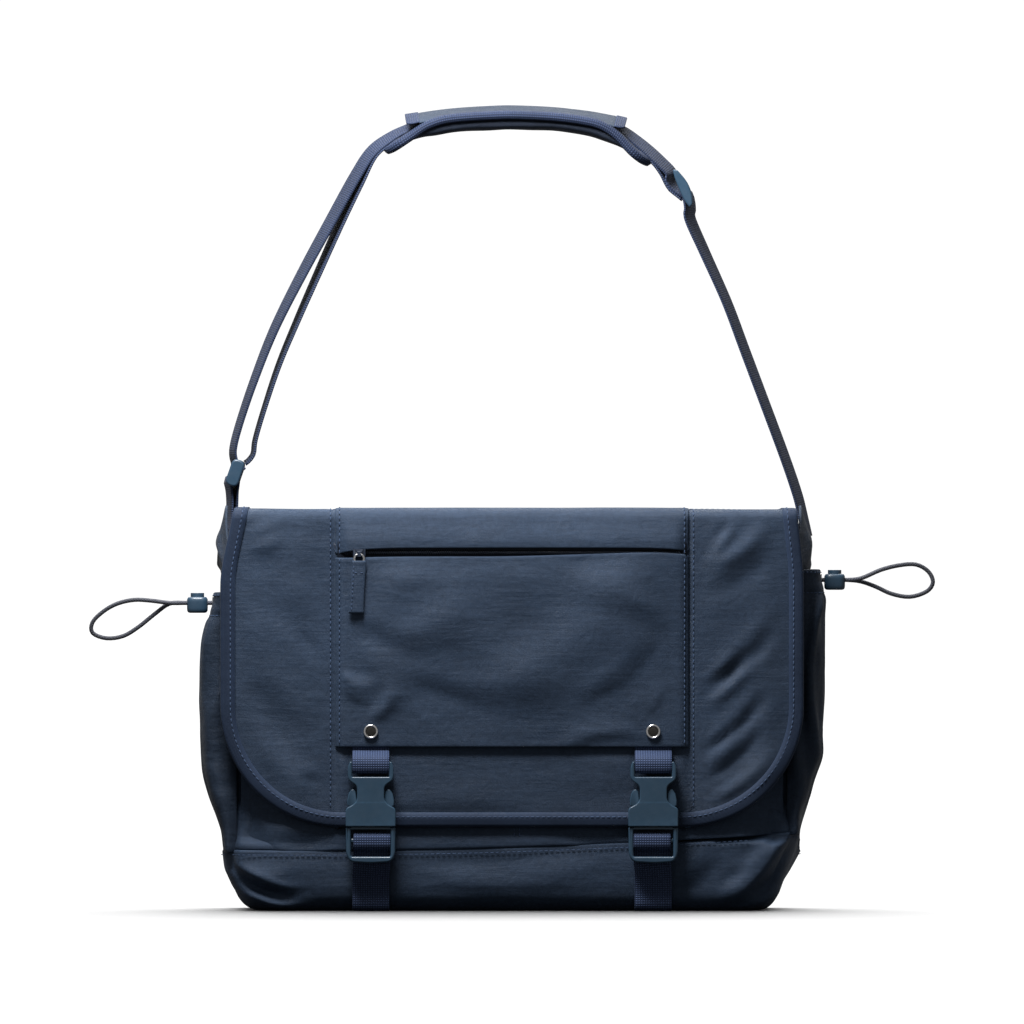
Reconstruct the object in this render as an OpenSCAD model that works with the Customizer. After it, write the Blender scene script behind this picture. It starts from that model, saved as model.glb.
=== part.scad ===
// Messenger bag with a two-buckle flap, a zip pocket, drawcord side pockets and a padded shoulder strap.
// +X is the wearer's view to the right of the front, -Y is the front, +Z is up, and z = 0 is the floor.

/* [Body] */
// Width between the outer faces of the gussets
body_w = 372; // [360:1:372]
// Height of the mouth above the floor
body_h = 240; // [236:1:242]
// Depth from the front panel to the back panel
body_d = 110; // [106:1:112]
// Height of the base panel where it wraps up the walls
base_h = 38; // [34:1:42]
// Thickness of the padded outer fabric
wall = 3; // [2.6:0.1:3]
// Radius of the upright corners
corner_r = 22; // [18:1:26]

/* [Flap] */
// Width of the flap's front
flap_w = 377; // [374:1:378]
// Height of the flap's top face
flap_top_z = 261; // [260:1:262]
// Height of the flap's bottom edge
flap_bottom_z = 55; // [54:1:58]
// Radius of the flap's bottom corners
flap_corner_r = 78; // [60:1:90]
// Width of the zip pocket between its upright seams
zip_pocket_w = 230; // [222:1:232]
// Width of the binding tape on the flap's edge
binding_w = 8.5; // [7:0.5:10]

/* [Pockets] */
// How far the front pocket stands off the front panel
front_pocket_d = 8; // [8:0.5:8.5]
// Height of the front pocket's open edge
front_pocket_h = 185; // [170:1:195]
// Length of each side pocket from front to back
side_pocket_l = 88; // [80:1:88]
// Greatest distance of a side pocket from the middle
side_pocket_x = 203.5; // [202:0.5:205]
// Heights of the left and the right eyelet
eyelet_z = [199.5, 214.5]; // [190:0.5:215]

/* [Buckles] */
// Distance of each buckle from the middle
buckle_x = 91.5; // [88:0.5:94]
// Width of the buckle webbing
webbing_w = 24; // [23:0.5:24]

/* [Strap] */
// Width of the shoulder webbing
strap_w = 38; // [36:1:38]
// Thickness of one layer of shoulder webbing
strap_t = 1.6; // [1.4:0.1:1.6]
// Width of the shoulder pad
pad_w = 60; // [54:1:62]

/* [Hidden] */

navy = [0.20, 0.25, 0.33];
navy_dark = [0.13, 0.16, 0.22];
webbing_navy = [0.19, 0.21, 0.36];
plastic_teal = [0.16, 0.25, 0.32];
steel = [0.72, 0.73, 0.75];
gunmetal = [0.30, 0.30, 0.31];
cord_grey = [0.16, 0.17, 0.20];
foam_grey = [0.45, 0.46, 0.48];

// Levels from back to front
y_back = 63.8;
y_front = y_back - body_d;
y_pocket = y_front - front_pocket_d;
y_flap_in = y_pocket - 1.5;
flap_lining_t = 0.8;
shell_t = 2;
y_shell = y_flap_in - flap_lining_t;
y_shell_out = y_shell - shell_t;
tape_t = 0.8;
y_panel_in = y_shell_out - 1.8;
panel_t = 1.8;
y_panel_out = y_panel_in - panel_t;
y_buckle_back = y_panel_out - 0.3;
socket_d = 8.4;
y_buckle = y_buckle_back - socket_d / 2;

lining_t = 1;
foam_t = 5;
board_t = 2.5;
board_z = wall;
floor_z = board_z + board_t;

hinge_gap = 0.4;
flap_t = 3;

flap_back_w = 340;
// Where the strap stands, and the height that it swings about
strap_y = y_back - 23;
swing_z = 268;
// The flap folds up just in front of the strap
fold_y = strap_y - 25.2;

// ---------- general shapes ----------

function arc(cx, cy, r, a0, a1, n) =
    [for (i = [0:n]) let (a = a0 + (a1 - a0) * i / n) [cx + r * cos(a), cy + r * sin(a)]];

function rounded(x0, y0, x1, y1, r, n = 6) = concat(
    arc(x1 - r, y1 - r, r, 0, 90, n),
    arc(x0 + r, y1 - r, r, 90, 180, n),
    arc(x0 + r, y0 + r, r, 180, 270, n),
    arc(x1 - r, y0 + r, r, 270, 360, n));

// A smooth curve through the points p, with n steps between each two
function blend4(a, b, c, d, t) =
    0.5 * (2 * b + (c - a) * t + (2 * a - 5 * b + 4 * c - d) * t * t + (3 * b - a - 3 * c + d) * t * t * t);
function smooth(p, n) = let (m = len(p) - 1) concat(
    [for (i = [0:m - 1], j = [0:n - 1])
        blend4(p[max(i - 1, 0)], p[i], p[i + 1], p[min(i + 2, m)], j / n)],
    [p[m]]);

function unit(v) = v / norm(v);
function tangent(p, i) = unit(p[min(i + 1, len(p) - 1)] - p[max(i - 1, 0)]);
function side(p, i, d) = let (t = tangent(p, i)) p[i] + d * [-t[1], t[0]];

// The outline of a strip of thickness t along the flat path p, shifted sideways by s
function strip(p, t, s = 0) = concat(
    [for (i = [0:len(p) - 1]) side(p, i, s + t / 2)],
    [for (i = [len(p) - 1:-1:0]) side(p, i, s - t / 2)]);

// A flat outline in X and Z, made w deep along Y about y
module along_y(outline, y, w) {
    translate([0, y + w / 2, 0])
        rotate([90, 0, 0])
            linear_extrude(w) polygon(outline);
}

// A flat outline in Y and Z, made w long along X about x
module along_x(outline, x, w) {
    translate([x - w / 2, 0, 0])
        rotate([90, 0, 90])
            linear_extrude(w) polygon(outline);
}

// A slab between two corners
module slab(low, high) {
    translate(low) cube(high - low);
}

// A closed tube of radius r with n sides along the route p, which lies close to the XZ plane
module tube(p, r, n) {
    last = len(p) - 1;
    points = [for (i = [0:last], k = [0:n - 1])
        let (
            t = unit(p[min(i + 1, last)] - p[max(i - 1, 0)]),
            u = unit(cross(t, [0, 1, 0])),
            v = cross(u, t),
            a = 360 * k / n
        )
        p[i] + r * (cos(a) * u + sin(a) * v)];
    walls = [for (i = [0:last - 1], k = [0:n - 1])
        [i * n + k, i * n + (k + 1) % n, (i + 1) * n + (k + 1) % n, (i + 1) * n + k]];
    start_cap = [[for (k = [n - 1:-1:0]) k]];
    end_cap = [[for (k = [0:n - 1]) last * n + k]];
    polyhedron(points, concat(walls, start_cap, end_cap));
}

// ---------- body ----------

half_w = body_w / 2;

module body_outline(inset, front = y_front) {
    polygon(rounded(-half_w + inset, front + inset, half_w - inset, y_back - inset, corner_r - inset));
}

module body_ring(z0, z1) {
    translate([0, 0, z0])
        linear_extrude(z1 - z0)
            difference() {
                body_outline(0);
                body_outline(wall);
            }
}

module base_panel() {
    color(navy) difference() {
        linear_extrude(base_h)
            body_outline(0, y_pocket);
        translate([0, 0, wall])
            linear_extrude(base_h)
                body_outline(wall);
        for (x = [-buckle_x, buckle_x]) {
            slab([x - webbing_w / 2 - 0.6, y_pocket - 1, -1], [x + webbing_w / 2 + 0.6, y_pocket + 34, 2]);
            slab([x - webbing_w / 2 - 0.6, y_pocket - 1, -1], [x + webbing_w / 2 + 0.6, y_pocket + 2.4, 5]);
        }
    }
}

module front_panel() {
    color(navy) intersection() {
        body_ring(base_h, body_h);
        slab([-half_w, y_front, 0], [half_w, y_front + corner_r, body_h]);
    }
}

module back_panel() {
    color(navy) intersection() {
        body_ring(base_h, body_h);
        slab([-half_w, y_back - corner_r, 0], [half_w, y_back, body_h]);
    }
}

module gusset() {
    color(navy_dark)
        slab([-half_w, y_front + corner_r, base_h], [-half_w + wall, y_back - corner_r, body_h]);
}

module gusset_left() {
    gusset();
}

module gusset_right() {
    mirror([1, 0, 0]) gusset();
}

board_inset = wall + 1;

module base_board() {
    color(foam_grey)
        translate([0, 0, board_z])
            linear_extrude(board_t) body_outline(board_inset);
}

y_foam = y_back - wall - foam_t;
foam_half_w = half_w - corner_r;

module back_foam() {
    color(foam_grey)
        slab([-foam_half_w, y_foam, floor_z], [foam_half_w, y_back - wall, body_h - 4]);
}

lining_inset = wall + 0.05;

// The lining steps forward around the foam
module lining_outline(extra) {
    difference() {
        body_outline(lining_inset + extra);
        translate([-foam_half_w - 0.05 - extra, y_foam - 0.05 - extra])
            square([body_w - 2 * corner_r + 0.1 + 2 * extra, foam_t + wall + 2]);
    }
}

module lining() {
    color(foam_grey) difference() {
        translate([0, 0, floor_z])
            linear_extrude(body_h - floor_z) lining_outline(0);
        translate([0, 0, floor_z + lining_t])
            linear_extrude(body_h) lining_outline(lining_t);
    }
}

sleeve_half_w = 158;
sleeve_gap = 14;
sleeve_t = 1.5;
y_sleeve = y_foam - lining_t - 0.1;
sleeve_z0 = floor_z + lining_t;
sleeve_z1 = 205;

module inner_sleeve() {
    color(navy_dark) difference() {
        slab([-sleeve_half_w, y_sleeve - sleeve_gap, sleeve_z0], [sleeve_half_w, y_sleeve, sleeve_z1]);
        slab([-sleeve_half_w + sleeve_t, y_sleeve - sleeve_gap + sleeve_t, sleeve_z0 - 1],
            [sleeve_half_w - sleeve_t, y_sleeve + 1, sleeve_z1 + 1]);
    }
}

pocket_half_w = 170;
pocket_t = 1.5;

module front_pocket() {
    color(navy) difference() {
        slab([-pocket_half_w, y_pocket, base_h], [pocket_half_w, y_front, front_pocket_h]);
        for (s = [-1, 1])
            translate([s * pocket_half_w / 2, 0, 0])
                slab([-pocket_half_w / 2 + pocket_t, y_pocket + pocket_t, base_h + pocket_t],
                    [pocket_half_w / 2 - pocket_t, y_front + 1, front_pocket_h + 1]);
    }
}

// The tapes on the mouth of the bag and on the front pocket
module top_bindings() {
    color(webbing_navy) {
        translate([0, 0, body_h])
            linear_extrude(1.5)
                difference() {
                    body_outline(0);
                    body_outline(wall + lining_t);
                }
        slab([-pocket_half_w, y_pocket, front_pocket_h],
            [pocket_half_w, y_pocket + pocket_t, front_pocket_h + 2]);
    }
}

// ---------- side pockets ----------

side_y = y_back - corner_r - side_pocket_l / 2;
side_t = 1.5;
hem_h = 14;
hem_t = 2.6;
side_pocket_z0 = 6;
// Distance of each hem's outer face from the middle, left and right
hem_x = [194, 200.5];

function pocket_curve(side_index, inset) =
    let (top = eyelet_z[side_index] - hem_h / 2, x = hem_x[side_index] - 1)
    smooth([
        [half_w + 2 - inset, side_pocket_z0 + inset],
        [half_w + 9 - inset, 34 + inset / 2],
        [side_pocket_x - 1 - inset, 90],
        [side_pocket_x - inset, 145],
        [x + 4 - inset, top - 22],
        [x - inset, top]
    ], 3);

module side_pocket(side_index) {
    top = eyelet_z[side_index] - hem_h / 2;
    outer = concat([[half_w, top], [half_w, side_pocket_z0]], pocket_curve(side_index, 0));
    inner = concat([[half_w - 1, top + 1], [half_w - 1, side_pocket_z0 + side_t]],
        pocket_curve(side_index, side_t), [[hem_x[side_index] - 1 - side_t, top + 1]]);
    color(navy) difference() {
        along_y(outer, side_y, side_pocket_l);
        along_y(inner, side_y, side_pocket_l - 2 * side_t);
    }
}

eyelet_bore_r = 3.3;
eyelet_barrel_r = 3.9;
eyelet_flange_r = 5.2;

module side_hem(side_index) {
    half_l = side_pocket_l / 2;
    z = eyelet_z[side_index];
    x = hem_x[side_index];
    color(navy) difference() {
        slab([half_w, side_y - half_l, z - hem_h / 2], [x, side_y + half_l, z + hem_h / 2]);
        slab([half_w - 1, side_y - half_l + hem_t, z - hem_h],
            [x - hem_t, side_y + half_l - hem_t, z + hem_h]);
        translate([x - 4, side_y, z])
            rotate([0, 90, 0]) cylinder(h = 6, r = eyelet_barrel_r, $fn = 48);
    }
}

module side_pocket_left() {
    mirror([1, 0, 0]) side_pocket(0);
}

module side_pocket_right() {
    side_pocket(1);
}

module side_hem_left() {
    mirror([1, 0, 0]) side_hem(0);
}

module side_hem_right() {
    side_hem(1);
}

module eyelet(side_index) {
    translate([hem_x[side_index], side_y, eyelet_z[side_index]])
        rotate([0, 90, 0])
            rotate_extrude($fn = 48)
                polygon([
                    [eyelet_bore_r, -hem_t - 0.8], [eyelet_flange_r - 0.6, -hem_t - 0.8],
                    [eyelet_flange_r - 0.6, -hem_t], [eyelet_barrel_r, -hem_t],
                    [eyelet_barrel_r, 0], [eyelet_flange_r, 0],
                    [eyelet_flange_r - 0.5, 1], [eyelet_bore_r + 0.4, 1.2], [eyelet_bore_r, 0.6]
                ]);
}

module eyelets() {
    color(steel) {
        mirror([1, 0, 0]) eyelet(0);
        eyelet(1);
    }
}

// ---------- fixed back of the flap and the strap's anchors ----------

module flap_back() {
    path = smooth([
        [y_back + 1.8, 222], [y_back + 2.2, 240], [y_back + 0.5, 247], [y_back - 8, 253],
        [y_back - 26, 257.7], [fold_y + hinge_gap, flap_top_z - flap_t / 2]
    ], 4);
    color(navy) along_x(strip(path, flap_t), 0, flap_back_w);
}

module anchor(x_low, x_top) {
    path = smooth([[x_low, 224], [x_low, body_h], [x_low - 1, body_h + 8], [x_top, swing_z - 0.3]], 4);
    along_y(strip(path, 2 * strap_t), strap_y, strap_w);
}

anchor_low_x = half_w + strap_t + 0.3;
anchor_top_x = [183.6, 185.6];

module anchor_webbing() {
    color(webbing_navy) {
        mirror([1, 0, 0]) anchor(anchor_low_x, anchor_top_x[0]);
        anchor(anchor_low_x, anchor_top_x[1]);
    }
}

// ---------- flap ----------

flap_half_w = flap_w / 2;
zip_half_w = zip_pocket_w / 2;
hood_z = 235;
panel_top_z = 232;
panel_bottom_z = 106;
band_top_z = 112;
flap_hang_z = flap_top_z - 0.1;

module flap_top() {
    color(navy)
        slab([-flap_half_w, y_flap_in + hinge_gap, flap_top_z - flap_t],
            [flap_half_w, fold_y - hinge_gap, flap_top_z]);
}

function flap_outline(inset) = concat(
    [[flap_half_w - inset, flap_hang_z], [-flap_half_w + inset, flap_hang_z]],
    arc(-flap_half_w + flap_corner_r, flap_bottom_z + flap_corner_r, flap_corner_r - inset, 180, 270, 12),
    arc(flap_half_w - flap_corner_r, flap_bottom_z + flap_corner_r, flap_corner_r - inset, 270, 360, 12));

// A layer of the flap between two levels, with y1 the one nearer the front
module flap_layer(y0, y1, inset = 0) {
    along_y(flap_outline(inset), (y0 + y1) / 2, y0 - y1);
}

module flap_side() {
    color(navy) intersection() {
        flap_layer(y_shell, y_shell_out);
        slab([-flap_half_w, y_shell_out, 0], [-zip_half_w, y_shell, flap_top_z]);
    }
}

module flap_side_left() {
    flap_side();
}

module flap_side_right() {
    mirror([1, 0, 0]) flap_side();
}

module flap_lining() {
    color(navy_dark) flap_layer(y_flap_in, y_shell);
}

module flap_binding() {
    color(webbing_navy) difference() {
        flap_layer(y_shell_out, y_shell_out - tape_t);
        flap_layer(y_shell_out + 1, y_shell_out - 2, binding_w);
        slab([-flap_half_w, y_shell_out - 2, flap_top_z - 12],
            [flap_half_w, y_shell_out + 1, flap_top_z + 1]);
    }
}

module flap_hood() {
    color(navy) {
        slab([-zip_half_w, y_panel_out, hood_z], [zip_half_w, y_panel_in, flap_hang_z]);
        slab([-zip_half_w, y_panel_in, flap_hang_z - 18], [zip_half_w, y_shell, flap_hang_z]);
    }
}

module flap_band() {
    color(navy)
        slab([-zip_half_w, y_shell_out, flap_bottom_z], [zip_half_w, y_shell, band_top_z]);
}

snap_z = 116.5;
snap_post_r = 1.5;

module flap_pocket_panel() {
    rim = 1.5;
    rim_z0 = band_top_z + 0.2;
    rim_z1 = panel_top_z - 6;
    color(navy) difference() {
        union() {
            slab([-zip_half_w, y_panel_out, panel_bottom_z], [zip_half_w, y_panel_in, panel_top_z]);
            difference() {
                slab([-zip_half_w, y_panel_in - 0.5, rim_z0], [zip_half_w, y_shell, rim_z1]);
                slab([-zip_half_w + rim, y_panel_in - 1, rim_z0 + rim],
                    [zip_half_w - rim, y_shell + 1, panel_top_z]);
            }
        }
        for (x = [-buckle_x, buckle_x])
            translate([x, y_shell + 1, snap_z])
                rotate([90, 0, 0]) cylinder(h = 10, r = snap_post_r + 0.1, $fn = 24);
    }
}

module snap_caps() {
    color(gunmetal)
        for (x = [-buckle_x, buckle_x])
            translate([x, y_panel_out, snap_z])
                rotate([90, 0, 0])
                    rotate_extrude($fn = 48)
                        polygon([[0, -3.2], [snap_post_r, -3.2], [snap_post_r, 0], [4.5, 0],
                            [4.7, 0.7], [4.2, 1.3], [3.6, 1.3], [3.2, 1.7], [0, 2]]);
}

module snap_backs() {
    color(steel)
        for (x = [-buckle_x, buckle_x])
            translate([x, y_panel_in, snap_z])
                rotate([-90, 0, 0])
                    difference() {
                        cylinder(h = 1.6, r = 2.6, $fn = 32);
                        translate([0, 0, -1]) cylinder(h = 4, r = snap_post_r + 0.05, $fn = 32);
                    }
}

zip_z = (hood_z + panel_top_z) / 2;

module zip_tape() {
    color(navy_dark)
        slab([-zip_half_w + 2, y_panel_in + 0.2, zip_z - 5.5], [zip_half_w - 2, y_panel_in + 1.2, zip_z + 6]);
}

slider_x = -99;
y_pull = y_panel_out - 2;
pull_z = 231.4;
pull_ring_r = 3.1;
pull_wire_r = 0.75;

module zip_slider() {
    color(steel) {
        difference() {
            union() {
                slab([slider_x - 4, y_panel_out - 1.1, zip_z - 3.6],
                    [slider_x + 4, y_panel_out - 0.2, zip_z + 4]);
                slab([slider_x - 2.6, y_panel_out - 0.4, zip_z - 1.1],
                    [slider_x + 2.6, y_panel_in + 0.15, zip_z + 1.1]);
                slab([slider_x - 1.2, y_pull - 1.6, pull_z - 1.7],
                    [slider_x + 1.2, y_panel_out - 1, pull_z + 1.7]);
            }
            translate([slider_x - 2, y_pull, pull_z])
                rotate([0, 90, 0]) cylinder(h = 4, r = pull_wire_r + 0.4, $fn = 32);
        }
    }
}

module zip_pull_ring() {
    color(steel)
        translate([slider_x, y_pull, pull_z - pull_ring_r])
            rotate([90, 0, 0])
                rotate_extrude($fn = 48)
                    translate([pull_ring_r, 0]) circle(pull_wire_r, $fn = 24);
}

pull_tab_w = 10.5;
pull_tab_top = pull_z - 2 * pull_ring_r + 2;
pull_tab_bottom = 193;

module zip_pull_tab() {
    color(navy) difference() {
        slab([slider_x - pull_tab_w / 2, y_pull - 1.4, pull_tab_bottom],
            [slider_x + pull_tab_w / 2, y_pull + 1.4, pull_tab_top]);
        translate([slider_x, y_pull, pull_z - pull_ring_r])
            rotate([90, 0, 0])
                rotate_extrude($fn = 48)
                    translate([pull_ring_r, 0]) circle(pull_wire_r + 0.1, $fn = 24);
        slab([slider_x - 2.2, y_pull - 0.85, pull_z - 2 * pull_ring_r],
            [slider_x + 2.2, y_pull + 0.85, pull_tab_top + 1]);
    }
}

// ---------- buckles ----------

socket_top_z = 97;
socket_mouth_z = 54.8;
socket_half_w = 16.2;
loop_half_w = 15;
slot_bottom_z = 86.8;
slot_top_z = 92.4;
prong_pivot_x = 9.6;
prong_pivot_z = 57;
prong_d = 4.6;

module socket_shape() {
    polygon(concat(
        [[socket_half_w, socket_mouth_z], [socket_half_w, 66.5], [13.6, 68.2], [11.6, 70], [9.2, 73]],
        [[8.8, 78], [10.5, 83], [loop_half_w - 1, 86.5], [loop_half_w, 89]],
        [[loop_half_w, socket_top_z - 1.5], [loop_half_w - 1.5, socket_top_z]],
        [[-loop_half_w + 1.5, socket_top_z], [-loop_half_w, socket_top_z - 1.5]],
        [[-loop_half_w, 89], [-loop_half_w + 1, 86.5], [-10.5, 83], [-8.8, 78]],
        [[-9.2, 73], [-11.6, 70], [-13.6, 68.2], [-socket_half_w, 66.5], [-socket_half_w, socket_mouth_z]]));
}

// The slot that the upper webbing passes through
module socket_slot() {
    translate([-webbing_w / 2 - 0.5, slot_bottom_z]) square([webbing_w + 1, slot_top_z - slot_bottom_z]);
}

module buckle_socket(x) {
    cavity_d = prong_d + 0.6;
    bar_cut = 2.4;
    color(plastic_teal) translate([x, y_buckle, 0]) difference() {
        rotate([90, 0, 0]) translate([0, 0, -socket_d / 2]) linear_extrude(socket_d) socket_shape();
        rotate([90, 0, 0]) translate([0, 0, -socket_d]) linear_extrude(2 * socket_d) socket_slot();
        slab([-13.4, -cavity_d / 2, socket_mouth_z - 1], [13.4, cavity_d / 2, 66.6]);
        slab([-8.4, -cavity_d / 2, 66], [8.4, cavity_d / 2, 78.6]);
        slab([-loop_half_w - 1, -cavity_d / 2, 66.6], [loop_half_w + 1, cavity_d / 2, 80]);
        for (s = [-1, 1])
            translate([0, s * (socket_d - bar_cut), 0])
                slab([-webbing_w / 2 - 0.5, -socket_d / 2, slot_top_z - 0.4],
                    [webbing_w / 2 + 0.5, socket_d / 2, socket_top_z + 1]);
    }
}

module buckle_socket_left() {
    buckle_socket(-buckle_x);
}

module buckle_socket_right() {
    buckle_socket(buckle_x);
}

frame_bottom_z = 31;
frame_d = 6;
frame_top_z = 54.5;
frame_half_w = 16.2;

module frame_shape() {
    difference() {
        polygon(concat(
            [[frame_half_w, frame_top_z], [-frame_half_w, frame_top_z], [-frame_half_w, 39]],
            arc(-frame_half_w + 7, frame_bottom_z + 6.5, 6, 200, 270, 5),
            arc(frame_half_w - 7, frame_bottom_z + 6.5, 6, 270, 340, 5),
            [[frame_half_w, 39]]));
        translate([-12.7, 36.4]) square([25.4, 14.4]);
    }
}

module buckle_insert(x) {
    bar_z = 44.6;
    color(plastic_teal) translate([x, y_buckle, 0]) {
        rotate([90, 0, 0]) translate([0, 0, -frame_d / 2]) linear_extrude(frame_d) frame_shape();
        slab([-12.9, -1.2, bar_z - 1.8], [12.9, 1.8, bar_z + 1.8]);
        slab([-3.4, -prong_d / 2, frame_top_z - 0.2], [3.4, prong_d / 2, 74]);
        slab([-12.6, -prong_d / 2, frame_top_z - 0.2], [12.6, prong_d / 2, prong_pivot_z - 2.2]);
    }
}

module buckle_insert_left() {
    buckle_insert(-buckle_x);
}

module buckle_insert_right() {
    buckle_insert(buckle_x);
}

// One sprung arm, with its catch on the outside
module prong(x, s) {
    color(plastic_teal) translate([x, y_buckle, 0]) mirror([s < 0 ? 1 : 0, 0, 0])
        rotate([90, 0, 0]) translate([0, 0, -prong_d / 2]) linear_extrude(prong_d)
            polygon(concat(
                [[7.9, prong_pivot_z - 1.5], [11.3, prong_pivot_z - 1.5], [11.6, 62], [12.4, 67.1]],
                [[15, 68.6], [15.2, 72], [14.2, 76.5], [12.6, 79]],
                [[11, 79.2], [9.6, 77.6], [9, 72], [8.4, 64]]));
}

module prong_left_a() {
    prong(-buckle_x, -1);
}

module prong_left_b() {
    prong(-buckle_x, 1);
}

module prong_right_a() {
    prong(buckle_x, -1);
}

module prong_right_b() {
    prong(buckle_x, 1);
}

buckle_webbing_t = 1.4;

// Down from the flap, in front of the socket's bar, through the slot and back up behind it
module upper_webbing() {
    path = smooth([
        [y_shell_out - 0.9, band_top_z], [y_shell_out - 0.95, 107], [y_shell_out - 1.9, 103.8],
        [y_buckle - 0.8, 100.4], [y_buckle - 3, 97],
        [y_buckle - 3.1, 93], [y_buckle - 2.4, 91], [y_buckle, 90], [y_buckle + 2.4, 91],
        [y_buckle + 3.1, 93], [y_buckle + 3, 97.5]
    ], 3);
    color(webbing_navy)
        for (x = [-buckle_x, buckle_x])
            along_x(strip(path, buckle_webbing_t), x, webbing_w);
}

// From under the base, up behind the insert's lower bar, over its middle bar and down behind as a tail
module lower_webbing(x) {
    path = smooth([
        [y_pocket + 32, 0.9], [y_pocket + 12, 0.9], [y_pocket + 1.5, 1], [y_pocket - 0.9, 3.6],
        [y_pocket - 1.1, 12], [y_pocket - 3.5, 21], [y_buckle + 4.6, 30], [y_buckle + 4.3, 37],
        [y_buckle + 1.2, 39.6], [y_buckle - 2, 41], [y_buckle - 2.6, 44.5], [y_buckle - 2.1, 47.6],
        [y_buckle + 0.6, 49.1], [y_buckle + 3.6, 48.2], [y_buckle + 4.5, 45], [y_buckle + 5, 41]
    ], 3);
    color(webbing_navy) along_x(strip(path, buckle_webbing_t), x, webbing_w);
}

module lower_webbing_left() {
    lower_webbing(-buckle_x);
}

module lower_webbing_right() {
    lower_webbing(buckle_x);
}

// ---------- strap ----------

bar_r = 2;
loop_r = bar_r + strap_t / 2 + 0.1;
ring_arm_t = 4.5;
ring_lean = 16;
ring_top = [-180.3, 289];
ring_bottom = [-183.2, 279];

module ring_arm(y) {
    translate([0, y + ring_arm_t / 2, 0]) rotate([90, 0, 0]) linear_extrude(ring_arm_t)
        hull() {
            translate(ring_top) circle(4.3, $fn = 32);
            translate(ring_bottom) circle(4.3, $fn = 32);
        }
}

module strap_ring() {
    arm_y = strap_w / 2 + 0.6 + ring_arm_t / 2;
    color(plastic_teal) {
        ring_arm(strap_y - arm_y);
        ring_arm(strap_y + arm_y);
        for (p = [ring_top, ring_bottom])
            translate([p[0], strap_y + arm_y, p[1]])
                rotate([90, 0, 0]) cylinder(h = 2 * arm_y, r = bar_r, $fn = 32);
    }
}

// The short loop of webbing between the left anchor and the ring's lower bar
module ring_tab() {
    x = -anchor_top_x[0];
    path = concat(
        [[x - 0.9, swing_z + 0.3], [x - 1.4, swing_z + 4]],
        arc(ring_bottom[0], ring_bottom[1], loop_r, 195, -15, 10),
        [[x + 1.6, swing_z + 4], [x + 0.9, swing_z + 0.3]]);
    color(webbing_navy) along_y(strip(path, strap_t), strap_y, strap_w);
}

// The arch of the strap, as points chosen by eye along the middle of the webbing
right_route = [[185.6, 268.3], [182, 280], [175, 299], [163, 332], [151, 364], [139, 396], [124.5, 429],
    [114, 450]];
crown_route = [[101, 478], [92, 489], [76, 501], [55, 509], [30, 513.5], [5, 515], [-20, 514.5], [-45, 511],
    [-66, 504], [-82, 494]];
left_route = [[-95, 478], [-115, 450], [-136, 414], [-154, 378], [-168, 344], [-177.5, 315], [-182.5, 298]];
inner_route = [[-92, 474], [-109, 448], [-126, 413], [-139, 384], [-151, 355], [-161, 326], [-167.5, 304]];

triglide_at = [110.5, 464];
triglide_lean = 24;

// Points near the triglide, in its own frame: u outward, v up along the strap
function at_triglide(u, v) = triglide_at
    + u * [cos(triglide_lean), sin(triglide_lean)] + v * [-sin(triglide_lean), cos(triglide_lean)];

function loop_around(centre, a0, a1) = arc(centre[0], centre[1], loop_r, a0, a1, 10);

module shoulder_webbing() {
    through = [at_triglide(-4.2, -9), at_triglide(0, -6.4), at_triglide(4.6, -3), at_triglide(4.6, 3),
        at_triglide(0, 6.4), at_triglide(-3.4, 10)];
    path = concat(
        smooth(concat(right_route, through, crown_route, left_route), 3),
        loop_around(ring_top, 170, 340));
    color(webbing_navy) along_y(strip(path, strap_t), strap_y, strap_w);
}

module doubled_webbing() {
    under = [for (i = [0:len(crown_route) - 1]) side(crown_route, i, 2.2)];
    path = smooth(concat(
        [[ring_top[0] + loop_r + 0.8, ring_top[1] + 1.6], [-173, 294]],
        [for (i = [len(inner_route) - 1:-1:0]) inner_route[i]],
        [for (i = [len(under) - 1:-1:1]) under[i]],
        [at_triglide(-5.9, 12), at_triglide(-5, 6.5), at_triglide(-3.5, 2), at_triglide(-3.4, -1)]), 3);
    color(webbing_navy) along_y(strip(path, strap_t), strap_y, strap_w);
}

module triglide() {
    arm = 5;
    width = strap_w + 1.2 + 2 * arm;
    color(plastic_teal)
        translate([triglide_at[0], strap_y, triglide_at[1]])
            rotate([0, -triglide_lean, 0]) {
                for (s = [-1, 1])
                    translate([-2.7, s * (width - arm) / 2 - arm / 2, -14])
                        cube([5.4, arm, 28]);
                for (z = [-12.2, 12.2])
                    translate([0, width / 2, z])
                        rotate([90, 0, 0]) cylinder(h = width, r = 2, $fn = 32);
                translate([0, width / 2, 0])
                    rotate([90, 0, 0]) cylinder(h = width, r = 2.4, $fn = 32);
            }
}

pad_route = smooth([[94, 484], [78, 500], [55, 509], [30, 513.5], [5, 515], [-20, 514.5], [-45, 511],
    [-66, 504], [-86, 490]], 3);
cover_route = smooth([[74, 502.5], [55, 509], [30, 513.5], [5, 515], [-20, 514.5], [-45, 511],
    [-66, 504]], 3);
pad_edge_t = 2;
foam_pad_t = 3.5;
// How far the middle of the foam lies below the webbing
pad_drop = 5.8;
pad_lining_drop = pad_drop + foam_pad_t / 2 + 0.45;

module pad_foam() {
    color(foam_grey) along_y(strip(pad_route, foam_pad_t, pad_drop), strap_y, pad_w - 2 * pad_edge_t);
}

module pad_lining() {
    color(navy_dark) along_y(strip(pad_route, 0.8, pad_lining_drop), strap_y, pad_w - 2 * pad_edge_t);
}

module pad_cover() {
    color(navy) along_y(strip(cover_route, 1.2, -2), strap_y, pad_w - 2 * pad_edge_t);
}

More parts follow.
